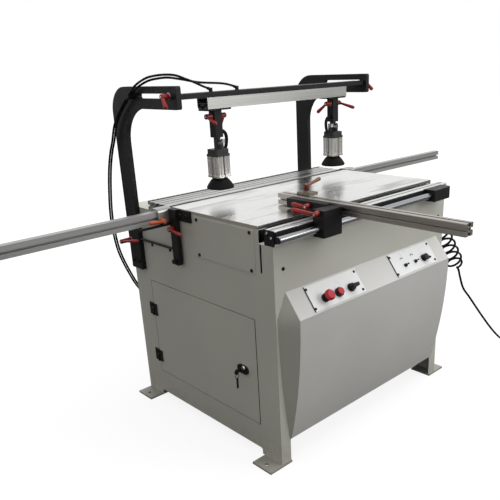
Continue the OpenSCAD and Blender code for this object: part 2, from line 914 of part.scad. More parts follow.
module door() color("whitesmoke") {
    third = hinge_h / 3;
    lock_y = door_y0 + lock_in;
    lock_z = door_z + lock_up;
    difference() {
        between([-x_side, door_y0, door_z], [door_rim - x_side, door_y1, door_z + door_h]);
        between([sheet - x_side, door_y0 + sheet, door_z + sheet],
            [door_rim + cut - x_side, door_y1 - sheet, door_z + door_h - sheet]);
        rod_x(lock_r + cut, -x_side - cut, sheet + cut - x_side, lock_y, lock_z);
    }
    for (i = [0, 1]) translate([0, 0, hinge_z(i)]) {
        between([-x_side - leaf_t, hinge_y - hinge_leaf, 0], [-x_side, hinge_y - hinge_r - run, hinge_h]);
        difference() {
            union() {
                between([-x_side - leaf_t, hinge_y - hinge_r - cut, third + run],
                    [-x_side - run, hinge_y, 2 * third - run]);
                translate([hinge_x, hinge_y, third + run]) cylinder(r = hinge_r, h = third - 2 * run);
            }
            translate([hinge_x, hinge_y, 0]) cylinder(r = hinge_pin_r + fit, h = hinge_h);
        }
    }
}

module lock_body() color("black") {
    lock_y = door_y0 + lock_in;
    lock_z = door_z + lock_up;
    difference() {
        along_x(-x_side - lock_plate_t, -x_side)
            slot_2d([lock_y - lock_plate_l / 2, lock_z],
                [lock_y + lock_plate_l / 2, lock_z], 2 * lock_plate_r);
        rod_x(lock_r + fit, -x_side - lock_plate_t - cut, cut - x_side, lock_y, lock_z);
    }
}

module lock_key() color("silver") {
    lock_y = door_y0 + lock_in;
    lock_z = door_z + lock_up;
    nose_x = -x_side - lock_plate_t - lock_proud;
    cam_x = door_rim + lock_nose_gap - x_side;
    bow_x = nose_x - key_stem_l - key_bow_r + cut;
    spare_z = lock_z - key_bow_r - key_ring_hang - key_ring_r;
    rod_x(lock_r, nose_x, cam_x + cam_t, lock_y, lock_z);
    between([cam_x, lock_y - cam_w / 2, lock_z - cam_w / 2],
        [cam_x + cam_t, lock_y + cam_l, lock_z + cam_w / 2]);
    // Key in the barrel, and the spare on its ring
    between([nose_x - key_stem_l, lock_y - key_t / 2, lock_z - key_stem_w / 2],
        [nose_x + cut, lock_y + key_t / 2, lock_z + key_stem_w / 2]);
    rod_y(key_bow_r, lock_y - key_t / 2, lock_y + key_t / 2, bow_x, lock_z);
    translate([bow_x, lock_y, lock_z - key_bow_r - key_ring_hang + key_wire_r]) rotate([90, 0, 0])
        rotate_extrude() translate([key_ring_r, 0]) circle(key_wire_r, $fn = 16);
    between([bow_x - key_blade_w / 2, lock_y - key_t / 2,
            spare_z - key_blade_l],
        [bow_x + key_blade_w / 2, lock_y + key_t / 2, spare_z + key_wire_r]);
}

module table_plate() color("lightgray")
    translate([-x_side, table_y0, wall_top]) linear_extrude(table_t)
        round_rect([cab_w, slot_y0 - table_y0], profile_r);

module rear_table() color("silver") along_x(-x_side, x_side) difference() {
    translate([slot_y1, rear_top]) round_rect([rear_w, rear_h], profile_r);
    for (share = rear_groove_shares)
        translate([slot_y1 + rear_w * share, table_top]) rotate(-90) groove_2d();
    translate([rear_y1, rear_top + rear_h / 2]) rotate(180) groove_2d();
    for (share = rear_core_shares)
        translate([slot_y1 + rear_w * share, rear_top + rear_h / 2]) circle(core_r);
}

module front_rail() color("silver") along_x(cap_t - x_side, x_side - cap_t) difference() {
    translate([rail_y0, rail_z0]) round_rect([rail_d, rail_h], profile_r);
    translate([rail_y0, rail_z0 + rail_h / 2]) groove_2d();
    translate([rail_y1, rail_z0 + rail_h / 2]) rotate(180) groove_2d();
    translate([rail_y0 + rail_d / 2, rail_z1]) rotate(-90) groove_2d();
    translate([rail_y0 + rail_d / 2, rail_z0 + rail_h / 2]) circle(core_r);
}

// End caps, the support of the guide bar and the block that holds its right end
module rail_fittings() color("black") {
    bar_end = x_side - end_block_right - bar_end_wall;
    block_x0 = x_side - end_block_right - end_block_l;
    both_sides() along_x(-x_side, cap_t - x_side)
        translate([rail_y0, rail_z0]) round_rect([rail_d, rail_h], profile_r);
    difference() {
        union() {
            between([cap_t - x_side, rail_y0 - web_foot_t, bar_z - web_foot_h / 2],
                [block_x0, rail_y0, bar_z + web_foot_h / 2]);
            between([cap_t - x_side, bar_y, bar_z - web_t / 2], [block_x0, rail_y0, bar_z + web_t / 2]);
            translate([block_x0, bar_y - end_block_y, bar_z - end_block_h / 2]) linear_extrude(end_block_h)
                difference() {
                    square([end_block_l, rail_y0 - bar_y + end_block_y]);
                    translate([end_block_l - end_block_r, 0]) difference() {
                        translate([0, -cut]) square([end_block_r + cut, end_block_r + cut]);
                        translate([0, end_block_r]) circle(end_block_r);
                    }
                }
        }
        rod_x(bar_r, -x_side - bar_left_out - cut, bar_end, bar_y, bar_z);
    }
}

module guide_bar() color("lightgray") {
    bar_end = x_side - end_block_right - bar_end_wall;
    x0 = -x_side - bar_left_out;
    translate([x0, bar_y, bar_z]) rotate([0, 90, 0])
        cylinder(r1 = bar_r - bar_chamfer, r2 = bar_r, h = bar_chamfer);
    rod_x(bar_r, x0 + bar_chamfer, bar_end, bar_y, bar_z);
}

module front_carriage() color("black") {
    difference() {
        between([carriage_x0, carriage_y0, carriage_z0],
            [carriage_x1, carriage_y1, carriage_z0 + carriage_h]);
        rod_x(bar_r + fit, carriage_x0 - cut, carriage_x1 + cut, bar_y, bar_z);
        between([carriage_x0 - cut, bar_y, bar_z - web_t / 2 - carriage_slack],
            [carriage_x1 + cut, carriage_y1 + cut, bar_z + web_t / 2 + carriage_slack]);
        between([carriage_x0 - cut, rail_y0 - web_foot_t - carriage_slack, carriage_z0 - cut],
            [carriage_x1 + cut, carriage_y1 + cut, bar_z + web_foot_h / 2 + carriage_slack]);
    }
    // Saddle along the fence, and the key that runs in the fence's groove
    between([carriage_x1 - saddle_t, carriage_y1 - cut, fence_z0 + saddle_lift],
        [carriage_x1, saddle_y1, fence_z0 + saddle_lift + saddle_h]);
    nut_z = fence_z0 + fence_a / 2;
    between([carriage_x1 - cut, bar_y - nut_l / 2, nut_z - nut_neck / 2],
        [fence_x0 + groove_lip + run, bar_y + nut_l / 2, nut_z + nut_neck / 2]);
    between([fence_x0 + groove_lip + run, bar_y - nut_l / 2, nut_z - nut_head / 2],
        [fence_x0 + groove_lip + run + nut_head_t, bar_y + nut_l / 2, nut_z + nut_head / 2]);
}

module carriage_lever() color("firebrick")
    translate([carriage_x0 - lever_gap, bar_y, carriage_lever_z]) rotate([0, -90, 0])
        rotate([0, 0, carriage_lever_turn]) clamp_lever(lever_hub_h, long_lever_l, long_lever_share);

module saddle_lever() color("firebrick")
    translate([carriage_x1 - saddle_t - lever_gap, carriage_y1 + saddle_lever_in,
            fence_z0 + saddle_lift + saddle_h * saddle_lever_share])
        rotate([0, -90, 0]) rotate([0, 0, saddle_lever_turn]) clamp_lever(lever_hub_h, short_lever_l);

module front_fence() color("silver") along_y(fence_y0, fence_y1) difference() {
    translate([fence_x0, fence_z0]) round_rect([fence_a, fence_a], profile_r);
    translate([fence_x0 + fence_a / 2, fence_z0 + fence_a / 2]) {
        for (turn = [0 : 90 : 270]) rotate(turn) translate([-fence_a / 2, 0]) groove_2d();
        circle(core_r);
    }
}

// Stop on top of the fence, with a leg down its right side
module fence_stop() color("silver") {
    y1 = fence_y1 - stop_back;
    z0 = fence_z1 + run;
    x1 = fence_x1 + run + stop_side_t;
    between([fence_x0 + stop_in, y1 - stop_l, z0], [fence_x1 + stop_out, y1, z0 + stop_h]);
    between([x1 - stop_side_t, y1 - stop_l, fence_z1 - stop_drop], [x1, y1, z0 + cut]);
    rod_z(stop_lever_boss, z0, z0 + stop_h + stop_side_t, fence_x1, y1 - stop_l / 2);
}

module stop_lever() color("orangered")
    translate([fence_x1, fence_y1 - stop_back - stop_l / 2,
            fence_z1 + run + stop_h + stop_side_t + lever_gap]) clamp_lever(lever_hub_h);

// Outline of a side fence in Y and Z, grown by a gap
module side_fence_2d(grow) {
    translate([side_y0 - grow, side_z0 - grow]) square([side_d + 2 * grow, side_h + 2 * grow]);
}

module side_fence() color("silver") along_x(side_x0, side_x0 + side_l) difference() {
    side_fence_2d(0);
    translate([side_y0, side_z0 + side_h * side_groove_share]) groove_2d();
    translate([side_y0 + side_d, side_z0 + side_h * side_groove_share]) rotate(180) groove_2d();
    for (share = side_core_shares) translate([side_y0 + side_d / 2, side_z0 + side_h * share]) circle(core_r);
}

module left_fence() mirror([1, 0, 0]) side_fence();
module right_fence() side_fence();

module fence_clamps() color("lightgray") both_sides()
    along_x(x_side + bracket_t, x_side + bracket_t + clamp_l) difference() {
        translate([side_y0 - clamp_wall, side_z0 - clamp_wall])
            round_rect([side_d + 2 * clamp_wall, side_h + 2 * clamp_wall], clamp_r);
        side_fence_2d(run);
    }

module fence_brackets() color("black") both_sides() {
    plate_z1 = table_top - bracket_down;
    upright_z0 = table_top - upright_h;
    x1 = x_side + bracket_t;
    between([x_side, bracket_y0, plate_z1 - bracket_h], [x1, bracket_y0 + bracket_l, plate_z1]);
    along_x(x1, x1 + upright_t) {
        translate([upright_y0, upright_z0 + upright_r])
            square([upright_w, plate_z1 - upright_z0 - upright_r]);
        slot_2d([upright_y0 + upright_r, upright_z0 + upright_r],
            [upright_y1 - upright_r, upright_z0 + upright_r], 2 * upright_r);
    }
    rod_y(stay_r, upright_y1, post_y0, stay_x, table_top - stay_down);
    rod_x(star_r, x1 + upright_t, x1 + upright_t + star_t, (upright_y0 + upright_y1) / 2,
        table_top - knob_down);
}

// Lever hubs stand out of the side, along +X
module side_lever(x, y, z, hub_h, turn, l) {
    translate([x, y, z]) rotate([0, 90, 0]) rotate([0, 0, turn]) clamp_lever(hub_h, l);
}

module bracket_levers() color("firebrick") both_sides() {
    side_lever(x_side + bracket_t + upright_t, (upright_y0 + upright_y1) / 2,
        table_top - upright_lever_down, lever_hub_h, upright_lever_turn, long_lever_l);
    side_lever(x_side + arm_t, post_y1 - post_lever_in, table_top - post_lever_down,
        post_lever_hub, post_lever_turn, long_lever_l);
}

module right_fence_lever() color("orangered")
    translate([x_side + bracket_t + clamp_l * fence_lever_out_share, side_y0 - clamp_wall - lever_gap,
            side_z0 + side_h * fence_lever_share])
        rotate([90, 0, 0]) rotate([0, 0, fence_lever_turn]) clamp_lever(lever_hub_h);

module left_fence_lever() color("orangered") mirror([1, 0, 0]) right_fence_lever();

// Outline of a gantry arm and its post in Y and Z
module arm_2d() difference() {
    union() {
        difference() {
            union() {
                translate([post_y0, post_z0]) square([arm_w, arm_top - post_z0]);
                translate([arm_y0, arm_z0]) round_rect([post_y1 - arm_y0, arm_w], arm_end_r);
            }
            translate([post_y1 - arm_r_out, arm_top - arm_r_out]) square([arm_r_out + cut, arm_r_out + cut]);
        }
        translate([post_y1 - arm_r_out, arm_top - arm_r_out]) intersection() {
            circle(arm_r_out, $fn = 96);
            square(arm_r_out);
        }
        difference() {
            translate([post_y0 - arm_r_in, arm_z0 - arm_r_in]) square([arm_r_in + cut, arm_r_in + cut]);
            translate([post_y0 - arm_r_in, arm_z0 - arm_r_in]) circle(arm_r_in, $fn = 96);
        }
    }
    slot_2d([press_y - arm_slot_front, arm_slot_z],
        [press_y - arm_slot_front + arm_slot_l - arm_slot_w, arm_slot_z], arm_slot_w);
}

module gantry_arms() color("black") both_sides() along_x(x_side, x_side + arm_t) arm_2d();

module gantry_beam() color("dimgray") {
    between([run - x_side, beam_y0, beam_z0], [x_side - run, beam_y0 + beam_d, beam_z0 + beam_h]);
    both_sides() rod_x(stud_r, x_side - cut, x_side + arm_t + run, press_y, arm_slot_z);
    for (x = port_xs) {
        rod_z(port_r, beam_z0 + beam_h - cut, beam_z0 + beam_h + port_h, x, press_y);
        translate([x, press_y, port_z]) rotate([0, port_lean - 90, 0]) cylinder(r = nozzle_r, h = nozzle_l);
    }
}

module clamp_rail() color("silver") along_x(-clamp_rail_l / 2, clamp_rail_l / 2) difference() {
    translate([beam_y0, clamp_rail_z0]) {
        round_rect([beam_d, clamp_rail_h], clamp_rail_r);
        square([beam_d / 2, clamp_rail_h]);
        translate([0, clamp_rail_h / 2]) square([beam_d, clamp_rail_h / 2]);
    }
    translate([press_y, clamp_rail_z0]) rotate(90) groove_2d();
    for (s = [-1, 1])
        translate([press_y + s * (beam_d / 4 + groove_in / 8), clamp_rail_z0 + clamp_rail_h * cell_low_share])
            square([beam_d / 2 - groove_in / 4 - 3 * cell_wall, clamp_rail_h / 3], center = true);
    translate([press_y, clamp_rail_z0 + clamp_rail_h * cell_high_share])
        square([beam_d - 2 * cell_wall, clamp_rail_h / 3], center = true);
}

module beam_lever() color("firebrick")
    side_lever(x_side + arm_t + run, press_y, arm_slot_z, lever_hub_h, beam_lever_turn,
        short_lever_l);

module left_beam_lever() mirror([1, 0, 0]) beam_lever();
module right_beam_lever() beam_lever();

// Slide plate under the rail, its key and the square post
module press_clamp() color("black") {
    nut_z = clamp_rail_z0 + groove_lip + run;
    between([press_x - slide_l / 2, press_y - slide_d / 2, slide_z0],
        [press_x + slide_l / 2, press_y + slide_d / 2, slide_z0 + slide_t]);
    between([press_x - nut_l / 2, press_y - nut_neck / 2, slide_z0 + slide_t - cut],
        [press_x + nut_l / 2, press_y + nut_neck / 2, nut_z]);
    between([press_x - nut_l / 2, press_y - nut_head / 2, nut_z],
        [press_x + nut_l / 2, press_y + nut_head / 2, nut_z + nut_head_t]);
    between([press_x - post_a / 2, press_y - post_a / 2, head_z1],
        [press_x + post_a / 2, press_y + post_a / 2, slide_z0 + cut]);
}

module left_clamp() mirror([1, 0, 0]) press_clamp();
module right_clamp() press_clamp();

module press_levers() color("firebrick") for (s = [-1, 1])
    translate([press_x + s * post_a / 2, press_y, slide_z0 - clamp_lever_down - lever_hub_r])
        rotate([0, s * 90, 0]) rotate([0, 0, press_lever_turns[(s + 1) / 2]])
            clamp_lever(lever_hub_h, short_lever_l);

module left_clamp_levers() mirror([1, 0, 0]) press_levers();
module right_clamp_levers() press_levers();

// Cylinder with its head, end caps and fluted barrel
module press_cylinder() color("silver") translate([press_x, press_y, 0]) {
    block_z1 = head_z0 + head_h * head_block_share;
    translate([-head_a / 2, -head_a / 2, head_z0]) cube([head_a, head_a, block_z1 - head_z0]);
    rod_z(head_boss_r, block_z1 - cut, head_z1, 0, 0);
    rod_z(fitting_r, block_z1 - cut, block_z1 + fitting_h, 0, -fitting_out);
    rod_z(fitting_r, block_z1 - cut, block_z1 + fitting_h, -fitting_out, 0);
    difference() {
        union() {
            for (z = [barrel_z0, head_z0 - barrel_cap_t])
                translate([-barrel_cap_a / 2, -barrel_cap_a / 2, z]) linear_extrude(barrel_cap_t)
                    round_rect([barrel_cap_a, barrel_cap_a], barrel_r);
            translate([0, 0, barrel_z0]) linear_extrude(barrel_h) difference() {
                translate([-barrel_a / 2, -barrel_a / 2]) round_rect([barrel_a, barrel_a], barrel_r);
                for (turn = [0 : 90 : 270], i = [0 : flute_n - 1]) rotate(turn)
                    translate([barrel_a / 2, (i - (flute_n - 1) / 2) * (barrel_a - 2 * barrel_r) / flute_n])
                        circle(flute_r);
            }
        }
        rod_z(rod_r + fit, barrel_z0 - cut, barrel_z0 + pad_travel + rod_stay + cut, 0, 0);
    }
}

module left_cylinder() mirror([1, 0, 0]) press_cylinder();
module right_cylinder() press_cylinder();

module press_foot() color("black") translate([press_x, press_y, 0]) {
    rod_z(rod_r, pad_z1 - cut, barrel_z0 + pad_travel + rod_stay, 0, 0);
    translate([0, 0, pad_z0]) rotate_extrude()
        polygon(concat([[0, 0], [pad_r - profile_r, 0], [pad_r, profile_r], [pad_r, pad_rim]],
            [for (p = pad_dome_shares)
                [pad_top_r + p[0] * (pad_r - pad_top_r), pad_rim + p[1] * (pad_h - pad_rim)]],
            [[pad_top_r, pad_h], [0, pad_h]]));
}

module left_press() mirror([1, 0, 0]) press_foot();
module right_press() press_foot();

// Gear case with its ears on the columns and the feed rods
module drill_head() color("slategray") {
    difference() {
        union() {
            translate([-gear_x, drill_y - gear_w / 2, gear_z0]) linear_extrude(gear_h)
                round_rect([2 * gear_x, gear_w], gear_r);
            both_sides() between([gear_x - gear_r, drill_y - gear_w / 2, gear_z0],
                [ear_x1, drill_y + gear_w / 2, gear_z0 + ear_h]);
        }
        both_sides() rod_z(column_r + fit, gear_z0 - cut, gear_z0 + ear_h + cut, column_x, drill_y);
        rod_z(shaft_r + fit, spindle_z - spindle_seat, spindle_z + cut, 0, drill_y);
    }
    both_sides() rod_z(feed_rod_r, unit_foot_z1 + run, gear_z0 + cut, cylinder_x, drill_y);
}

// Shaft, chuck and drill, standing on the gear case
module spindle(x, z0) {
    chuck_z = spindle_z + shaft_h;
    rod_z(shaft_r, z0, chuck_z, x, drill_y);
    rod_z(chuck_r, chuck_z, chuck_z + chuck_h, x, drill_y);
    rod_z(drill_r, chuck_z + chuck_h, drill_z1 - tip_h, x, drill_y);
    translate([x, drill_y, drill_z1 - tip_h]) cylinder(r1 = drill_r, r2 = 0, h = tip_h);
}

module drill_spindles() color("silver") for (i = [0 : spindle_n - 1])
    if (i != spindle_half) spindle((i - spindle_half) * pitch, spindle_z);

module centre_spindle() color("silver") spindle(0, spindle_z - spindle_seat + run);

module motor() color("steelblue") translate([0, drill_y, 0]) {
    z1 = gear_z0 - motor_flange_t;
    rod_z(motor_flange_r, z1, gear_z0, 0, 0);
    rod_z(motor_r, gear_z0 - motor_h, z1 + cut, 0, 0);
    for (i = [0 : motor_fin_n - 1]) rotate(360 * i / motor_fin_n)
        translate([motor_r - cut, -motor_fin_t / 2, gear_z0 - motor_h * fin_foot_share])
            cube([motor_fin_h + cut, motor_fin_t, motor_h * fin_share]);
    between([-motor_box_w / 2, -motor_r - motor_box_d, z1 - motor_box_h - motor_flange_t],
        [motor_box_w / 2, 0, z1 - motor_flange_t]);
}

module guide_columns() color("slategray") both_sides() {
    foot_z0 = unit_foot_z1 - unit_foot_h;
    difference() {
        between([x_side - sheet - unit_foot_l, drill_y - gear_w / 2, foot_z0],
            [x_side - sheet, drill_y + gear_w / 2, unit_foot_z1]);
        rod_z(feed_r, foot_z0 - cut, unit_foot_z1 + cut, cylinder_x, drill_y);
    }
    rod_z(column_r, unit_foot_z1 - cut, gear_z0 + gear_h + column_up, column_x, drill_y);
}

module feed_cylinders() color("silver") both_sides() difference() {
    rod_z(feed_r, unit_foot_z1 - unit_foot_h, unit_foot_z1 + feed_h, cylinder_x, drill_y);
    rod_z(feed_rod_r + fit, unit_foot_z1, unit_foot_z1 + feed_h + cut, cylinder_x, drill_y);
}

// Mounting plate behind the door, with rails of switchgear
module electrics_panel() color("orange") {
    x1 = panel_in - x_side;
    pan_z = front_arch_z + pan_rise + sheet;
    between([x1, -panel_w / 2, pan_z], [x1 + panel_t, panel_w / 2, panel_z1]);
    for (z = device_zs) {
        between([x1 - din_t, -panel_w / 2 + din_h, z - din_h / 2], [x1, panel_w / 2 - din_h, z + din_h / 2]);
        for (i = [0 : device_n - 1])
            translate([x1 - din_t, (i - (device_n - 1) / 2) * device_step, z])
                translate([-device_d, -device_w / 2, -device_h / 2]) cube([device_d, device_w, device_h]);
    }
}

module air_hoses() color("black") for (s = [0, 1])
    tube(curve([for (p = hose_up) p - [s * hose_pair, 0, 0]], hose_steps), hose_r, hose_sides, [1, 0, 0]);

module beam_hoses() color("black") {
    outer = over_route(clip_x - hose_pair, port_xs[0], over_shares, over_rises);
    inner = over_route(clip_x, port_xs[1], far_shares, far_rises);
    for (route = [outer, inner]) tube(curve(route, hose_steps), hose_r, hose_sides, [1, 0, 0]);
}

// Glands at the back, the clip on the arm and the port of the side hose
module hose_fittings() color("dimgray") {
    for (s = [0, 1]) rod_y(gland_r, y_back, y_back + gland_h, gland_x - s * hose_pair, gland_z);
    translate([-x_side - arm_t - clip_t / 2, clip_y, clip_z]) rotate([-clip_turn, 0, 0])
        cube([clip_t, clip_h, clip_w], center = true);
    rod_x(side_port_r, x_side, x_side + side_port_l, side_port_y, side_port_z);
}

curl_axis = unit(curl_to - curl_from);
curl_u = unit(cross([0, 1, 0], curl_axis));
curl_v = cross(curl_axis, curl_u);
curl_l = norm(curl_to - curl_from);
curl_last = curl_n * curl_rings;
curl_turns = [for (i = [0 : curl_last])
    let (a = 360 * i / curl_rings, r = curl_r * min(1, i / curl_ramp, (curl_last - i) / curl_ramp))
    curl_from + curl_l * i / curl_last * curl_axis + r * (cos(a) * curl_u + sin(a) * curl_v)];
curl_end = curl_to + curl_lead * curl_axis;
curl_points = concat([[x_side + side_port_l, side_port_y, side_port_z]], curl_turns, [curl_end]);
curl_gap = min([for (i = [0 : curl_last], j = [i + curl_rings / 2 : 1 : curl_last])
    norm(curl_turns[i] - curl_turns[j])]) - hose_d;
echo(least_gap_between_curls = curl_gap);

module curly_hose() color("black") tube(curl_points, hose_r, curl_sides, curl_axis);

module hose_tail() color("black") {
    route = concat([curl_end, curl_end + curl_lead * curl_axis], tail_route);
    tube(curve(route, hose_steps), hose_r, hose_sides, [0, 1, 0]);
}

module hose_coupling() color("goldenrod") {
    end = tail_route[len(tail_route) - 1];
    way = end - tail_route[len(tail_route) - 2];
    translate(end) rotate([0, 90, atan2(way[1], way[0])]) cylinder(r = coupling_r, h = coupling_l);
}

cabinet_shell();
feet();
side_covers();
console_housing();
control_plates();
control_bezels();
door_hinges();
table_plate();
rear_table();
front_rail();
rail_fittings();
guide_bar();
fence_brackets();
fence_clamps();
bracket_levers();
gantry_arms();
electrics_panel();
guide_columns();
feed_cylinders();
air_hoses();
hose_fittings();
curly_hose();
hose_tail();
hose_coupling();
door();
lock_body();
lock_key();
estop_button();
stop_button();
selector_knob();
left_toggle();
right_toggle();
rotary_knob();
front_carriage();
carriage_lever();
saddle_lever();
front_fence();
fence_stop();
stop_lever();
left_fence();
right_fence();
left_fence_lever();
right_fence_lever();
gantry_beam();
clamp_rail();
left_beam_lever();
right_beam_lever();
beam_hoses();
left_clamp();
right_clamp();
left_clamp_levers();
right_clamp_levers();
left_cylinder();
right_cylinder();
left_press();
right_press();
drill_head();
drill_spindles();
centre_spindle();
motor();
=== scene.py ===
"""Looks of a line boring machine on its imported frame: finishes, hoses, fasteners, camera and light."""
import json
import logging
import math
from dataclasses import dataclass
from enum import Enum
from typing import Mapping, Optional, Sequence, Union

import bpy
import numpy as np
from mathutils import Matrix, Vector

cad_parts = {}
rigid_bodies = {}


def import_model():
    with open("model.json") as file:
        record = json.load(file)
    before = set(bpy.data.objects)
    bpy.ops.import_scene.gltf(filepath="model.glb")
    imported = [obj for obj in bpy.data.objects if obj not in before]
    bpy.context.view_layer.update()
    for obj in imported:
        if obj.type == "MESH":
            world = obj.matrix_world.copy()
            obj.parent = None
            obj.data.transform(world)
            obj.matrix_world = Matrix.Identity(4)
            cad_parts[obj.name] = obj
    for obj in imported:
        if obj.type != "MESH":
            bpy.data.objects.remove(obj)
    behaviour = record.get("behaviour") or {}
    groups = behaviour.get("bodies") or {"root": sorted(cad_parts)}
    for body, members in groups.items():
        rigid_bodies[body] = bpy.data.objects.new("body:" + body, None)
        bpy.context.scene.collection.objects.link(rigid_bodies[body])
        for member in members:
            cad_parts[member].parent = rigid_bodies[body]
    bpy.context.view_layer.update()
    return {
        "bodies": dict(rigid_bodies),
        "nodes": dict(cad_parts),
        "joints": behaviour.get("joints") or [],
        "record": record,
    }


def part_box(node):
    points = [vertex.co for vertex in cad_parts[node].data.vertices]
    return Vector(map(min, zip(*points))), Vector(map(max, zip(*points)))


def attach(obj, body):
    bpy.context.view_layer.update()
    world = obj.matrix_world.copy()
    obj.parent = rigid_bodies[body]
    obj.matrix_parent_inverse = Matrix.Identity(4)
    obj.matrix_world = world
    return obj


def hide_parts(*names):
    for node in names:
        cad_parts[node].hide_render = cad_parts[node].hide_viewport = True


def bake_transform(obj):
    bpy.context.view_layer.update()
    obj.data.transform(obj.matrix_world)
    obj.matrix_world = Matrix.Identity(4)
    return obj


LOG = logging.getLogger("line_boring_machine")
Array = np.ndarray
Pair = tuple[float, float]
Point = tuple[float, float, float]
Colour = tuple[float, float, float]
Profile = tuple[Pair, ...]
Socket = bpy.types.NodeSocket
Inputs = Mapping[Union[str, int], object]

MM = 0.001
SHARP_DEG = 38.0
SLAB_POINTS = 32
NOISE_SPAN: Pair = (0.3, 0.7)
NARROW_SPAN: Pair = (0.35, 0.65)
FULL: Pair = (0.0, 1.0)
SIDES = (-1, 1)
LEFT: Point = (-1.0, 0.0, 0.0)
RIGHT: Point = (1.0, 0.0, 0.0)
FRONT: Point = (0.0, -1.0, 0.0)
BACK: Point = (0.0, 1.0, 0.0)
UP: Point = (0.0, 0.0, 1.0)


class Axis(Enum):
    """The row's axes, as indices of a coordinate."""

    X = 0
    Y = 1
    Z = 2


@dataclass
class Surface:
    """Points and faces of one surface before it becomes a mesh."""

    points: Array
    faces: list[tuple[int, ...]]

    def placed(self, origin: Sequence[float], axis: Sequence[float]) -> "Surface":
        """Turns +Z onto an axis and moves the surface to an origin.

        Args:
            origin: Where the surface's own origin goes.
            axis: The direction that its +Z takes.

        Returns:
            The turned and moved surface.
        """
        z = unit(np.asarray(axis, float))
        side = np.array(BACK if abs(z[0]) > 0.9 else RIGHT)
        x = unit(side - side.dot(z) * z)
        turn = np.stack([x, np.cross(z, x), z])
        return Surface(self.points @ turn + np.asarray(origin, float), self.faces)

    def repeated(self, places: Sequence[Point], axis: Sequence[float]) -> "Surface":
        """Copies at several places, all along one axis."""
        return joined([self.placed(p, axis) for p in places])


def joined(surfaces: Sequence[Surface]) -> Surface:
    """One surface from several, with the face numbers moved on.

    Args:
        surfaces: The surfaces to join.

    Returns:
        The joined surface.
    """
    starts = np.cumsum([0] + [len(s.points) for s in surfaces])
    faces = [tuple(i + int(n) for i in f) for s, n in zip(surfaces, starts) for f in s.faces]
    return Surface(np.concatenate([s.points for s in surfaces]), faces)


def unit(v: Array) -> Array:
    """The vectors of v with length 1."""
    return v / np.linalg.norm(v, axis=-1, keepdims=True)


def circle(sides: int, start: float = 0.0) -> Array:
    """Points (cos a, sin a) round a circle, from a share of a step on."""
    a = 2 * math.pi * (np.arange(sides) + start) / sides
    return np.stack([np.cos(a), np.sin(a)], -1)


def over_rings(rings: Array) -> Surface:
    """A closed surface over rings of points: a quad between each two neighbours, and a face at both ends.

    Args:
        rings: The points, as an array of rings by sides by 3.

    Returns:
        The surface, which faces outwards where the rings turn left about the way they follow each other.
    """
    rows, cols = rings.shape[:2]
    r, c = np.meshgrid(np.arange(rows - 1), np.arange(cols), indexing="ij")
    n = (c + 1) % cols
    quads = np.stack([r * cols + c, r * cols + n, (r + 1) * cols + n, (r + 1) * cols + c], -1)
    last = (rows - 1) * cols
    caps = [tuple(range(cols - 1, -1, -1)), tuple(range(last, last + cols))]
    return Surface(rings.reshape(-1, 3), [tuple(q) for q in quads.reshape(-1, 4).tolist()] + caps)


def revolved(profile: Sequence[Pair], sides: int, scale: float = 1.0) -> Surface:
    """A profile of (radius, height) turned about +Z, from its foot to its top.

    A point is (r cos a, r sin a, h), with a running round the ring.

    Args:
        profile: Radius and height of each ring, foot first.
        sides: Points in each ring.
        scale: The profile's unit in metres.

    Returns:
        The closed surface.
    """
    p = np.asarray(profile, float) * scale
    flat = p[:, None, :1] * circle(sides)[None]
    high = np.broadcast_to(p[:, None, 1:], flat.shape[:2] + (1,))
    return over_rings(np.concatenate([flat, high], -1))


def smooth_curve(points: Sequence[Point], steps: int) -> Array:
    """A cubic through the points, each stretch bent by its neighbours, with straight first and last stretches.

    The stretch from b to c is b + u/2 ((c - a) + u ((2a - 5b + 4c - d) + u (3b - a - 3c + d))).

    Args:
        points: The points that the curve goes through.
        steps: Pieces in each stretch.

    Returns:
        The curve's points.
    """
    p = np.asarray(points, float)
    a, b, c, d = p[:-3, None], p[1:-2, None], p[2:-1, None], p[3:, None]
    u = (np.arange(steps) / steps)[None, :, None]
    q = b + u / 2 * ((c - a) + u * ((2 * a - 5 * b + 4 * c - d) + u * (3 * b - a - 3 * c + d)))
    return np.concatenate([p[:1], q.reshape(-1, 3), p[-2:]])


def tube(path: Array, radius: Union[float, Array], sides: int, ref: Sequence[float]) -> Surface:
    """A round profile carried along a path.

    At each point the ring is p + r (cos k a + sin k b), where a and b stand square to the path.

    Args:
        path: The middle line.
        radius: One radius, or one for each point.
        sides: Points in each ring.
        ref: A direction that the path never takes.

    Returns:
        The closed tube.
    """
    t = unit(np.concatenate([path[1:2] - path[:1], path[2:] - path[:-2], path[-1:] - path[-2:-1]]))
    r = np.asarray(ref, float)
    a = unit(r - (t @ r)[:, None] * t)
    ring = circle(sides)[None, :, :, None]
    out = ring[:, :, 0] * a[:, None] + ring[:, :, 1] * np.cross(t, a)[:, None]
    size = np.broadcast_to(np.asarray(radius, float), (len(path),))[:, None, None]
    return over_rings(path[:, None] + size * out)


def slab(width: float, depth: float, height: float, corner: float, chamfer: float) -> Surface:
    """A plate with round corners and a chamfered upper edge, standing on the origin along +Z.

    A ring's point is the nearer corner's middle plus r (cos a, sin a); the rings rise from foot to top.

    Args:
        width: Size along its X.
        depth: Size along its Y.
        height: Size along Z.
        corner: Radius of the corners.
        chamfer: Width of the chamfer.

    Returns:
        The closed plate.
    """
    way = circle(SLAB_POINTS, 0.5)
    middles = np.sign(way) * np.array([width / 2 - corner, depth / 2 - corner])
    rings = [(corner, 0.0), (corner, height - chamfer), (corner - chamfer, height)]
    return over_rings(np.stack([np.insert(middles + r * way, 2, h, axis=1) for r, h in rings]))


def linked(name: str, data: bpy.types.ID) -> bpy.types.Object:
    """A new object of some data, linked into the scene.

    Args:
        name: The object's name.
        data: Its mesh, lamp or camera.

    Returns:
        The object.
    """
    made = bpy.data.objects.new(name, data)
    bpy.context.scene.collection.objects.link(made)
    return made


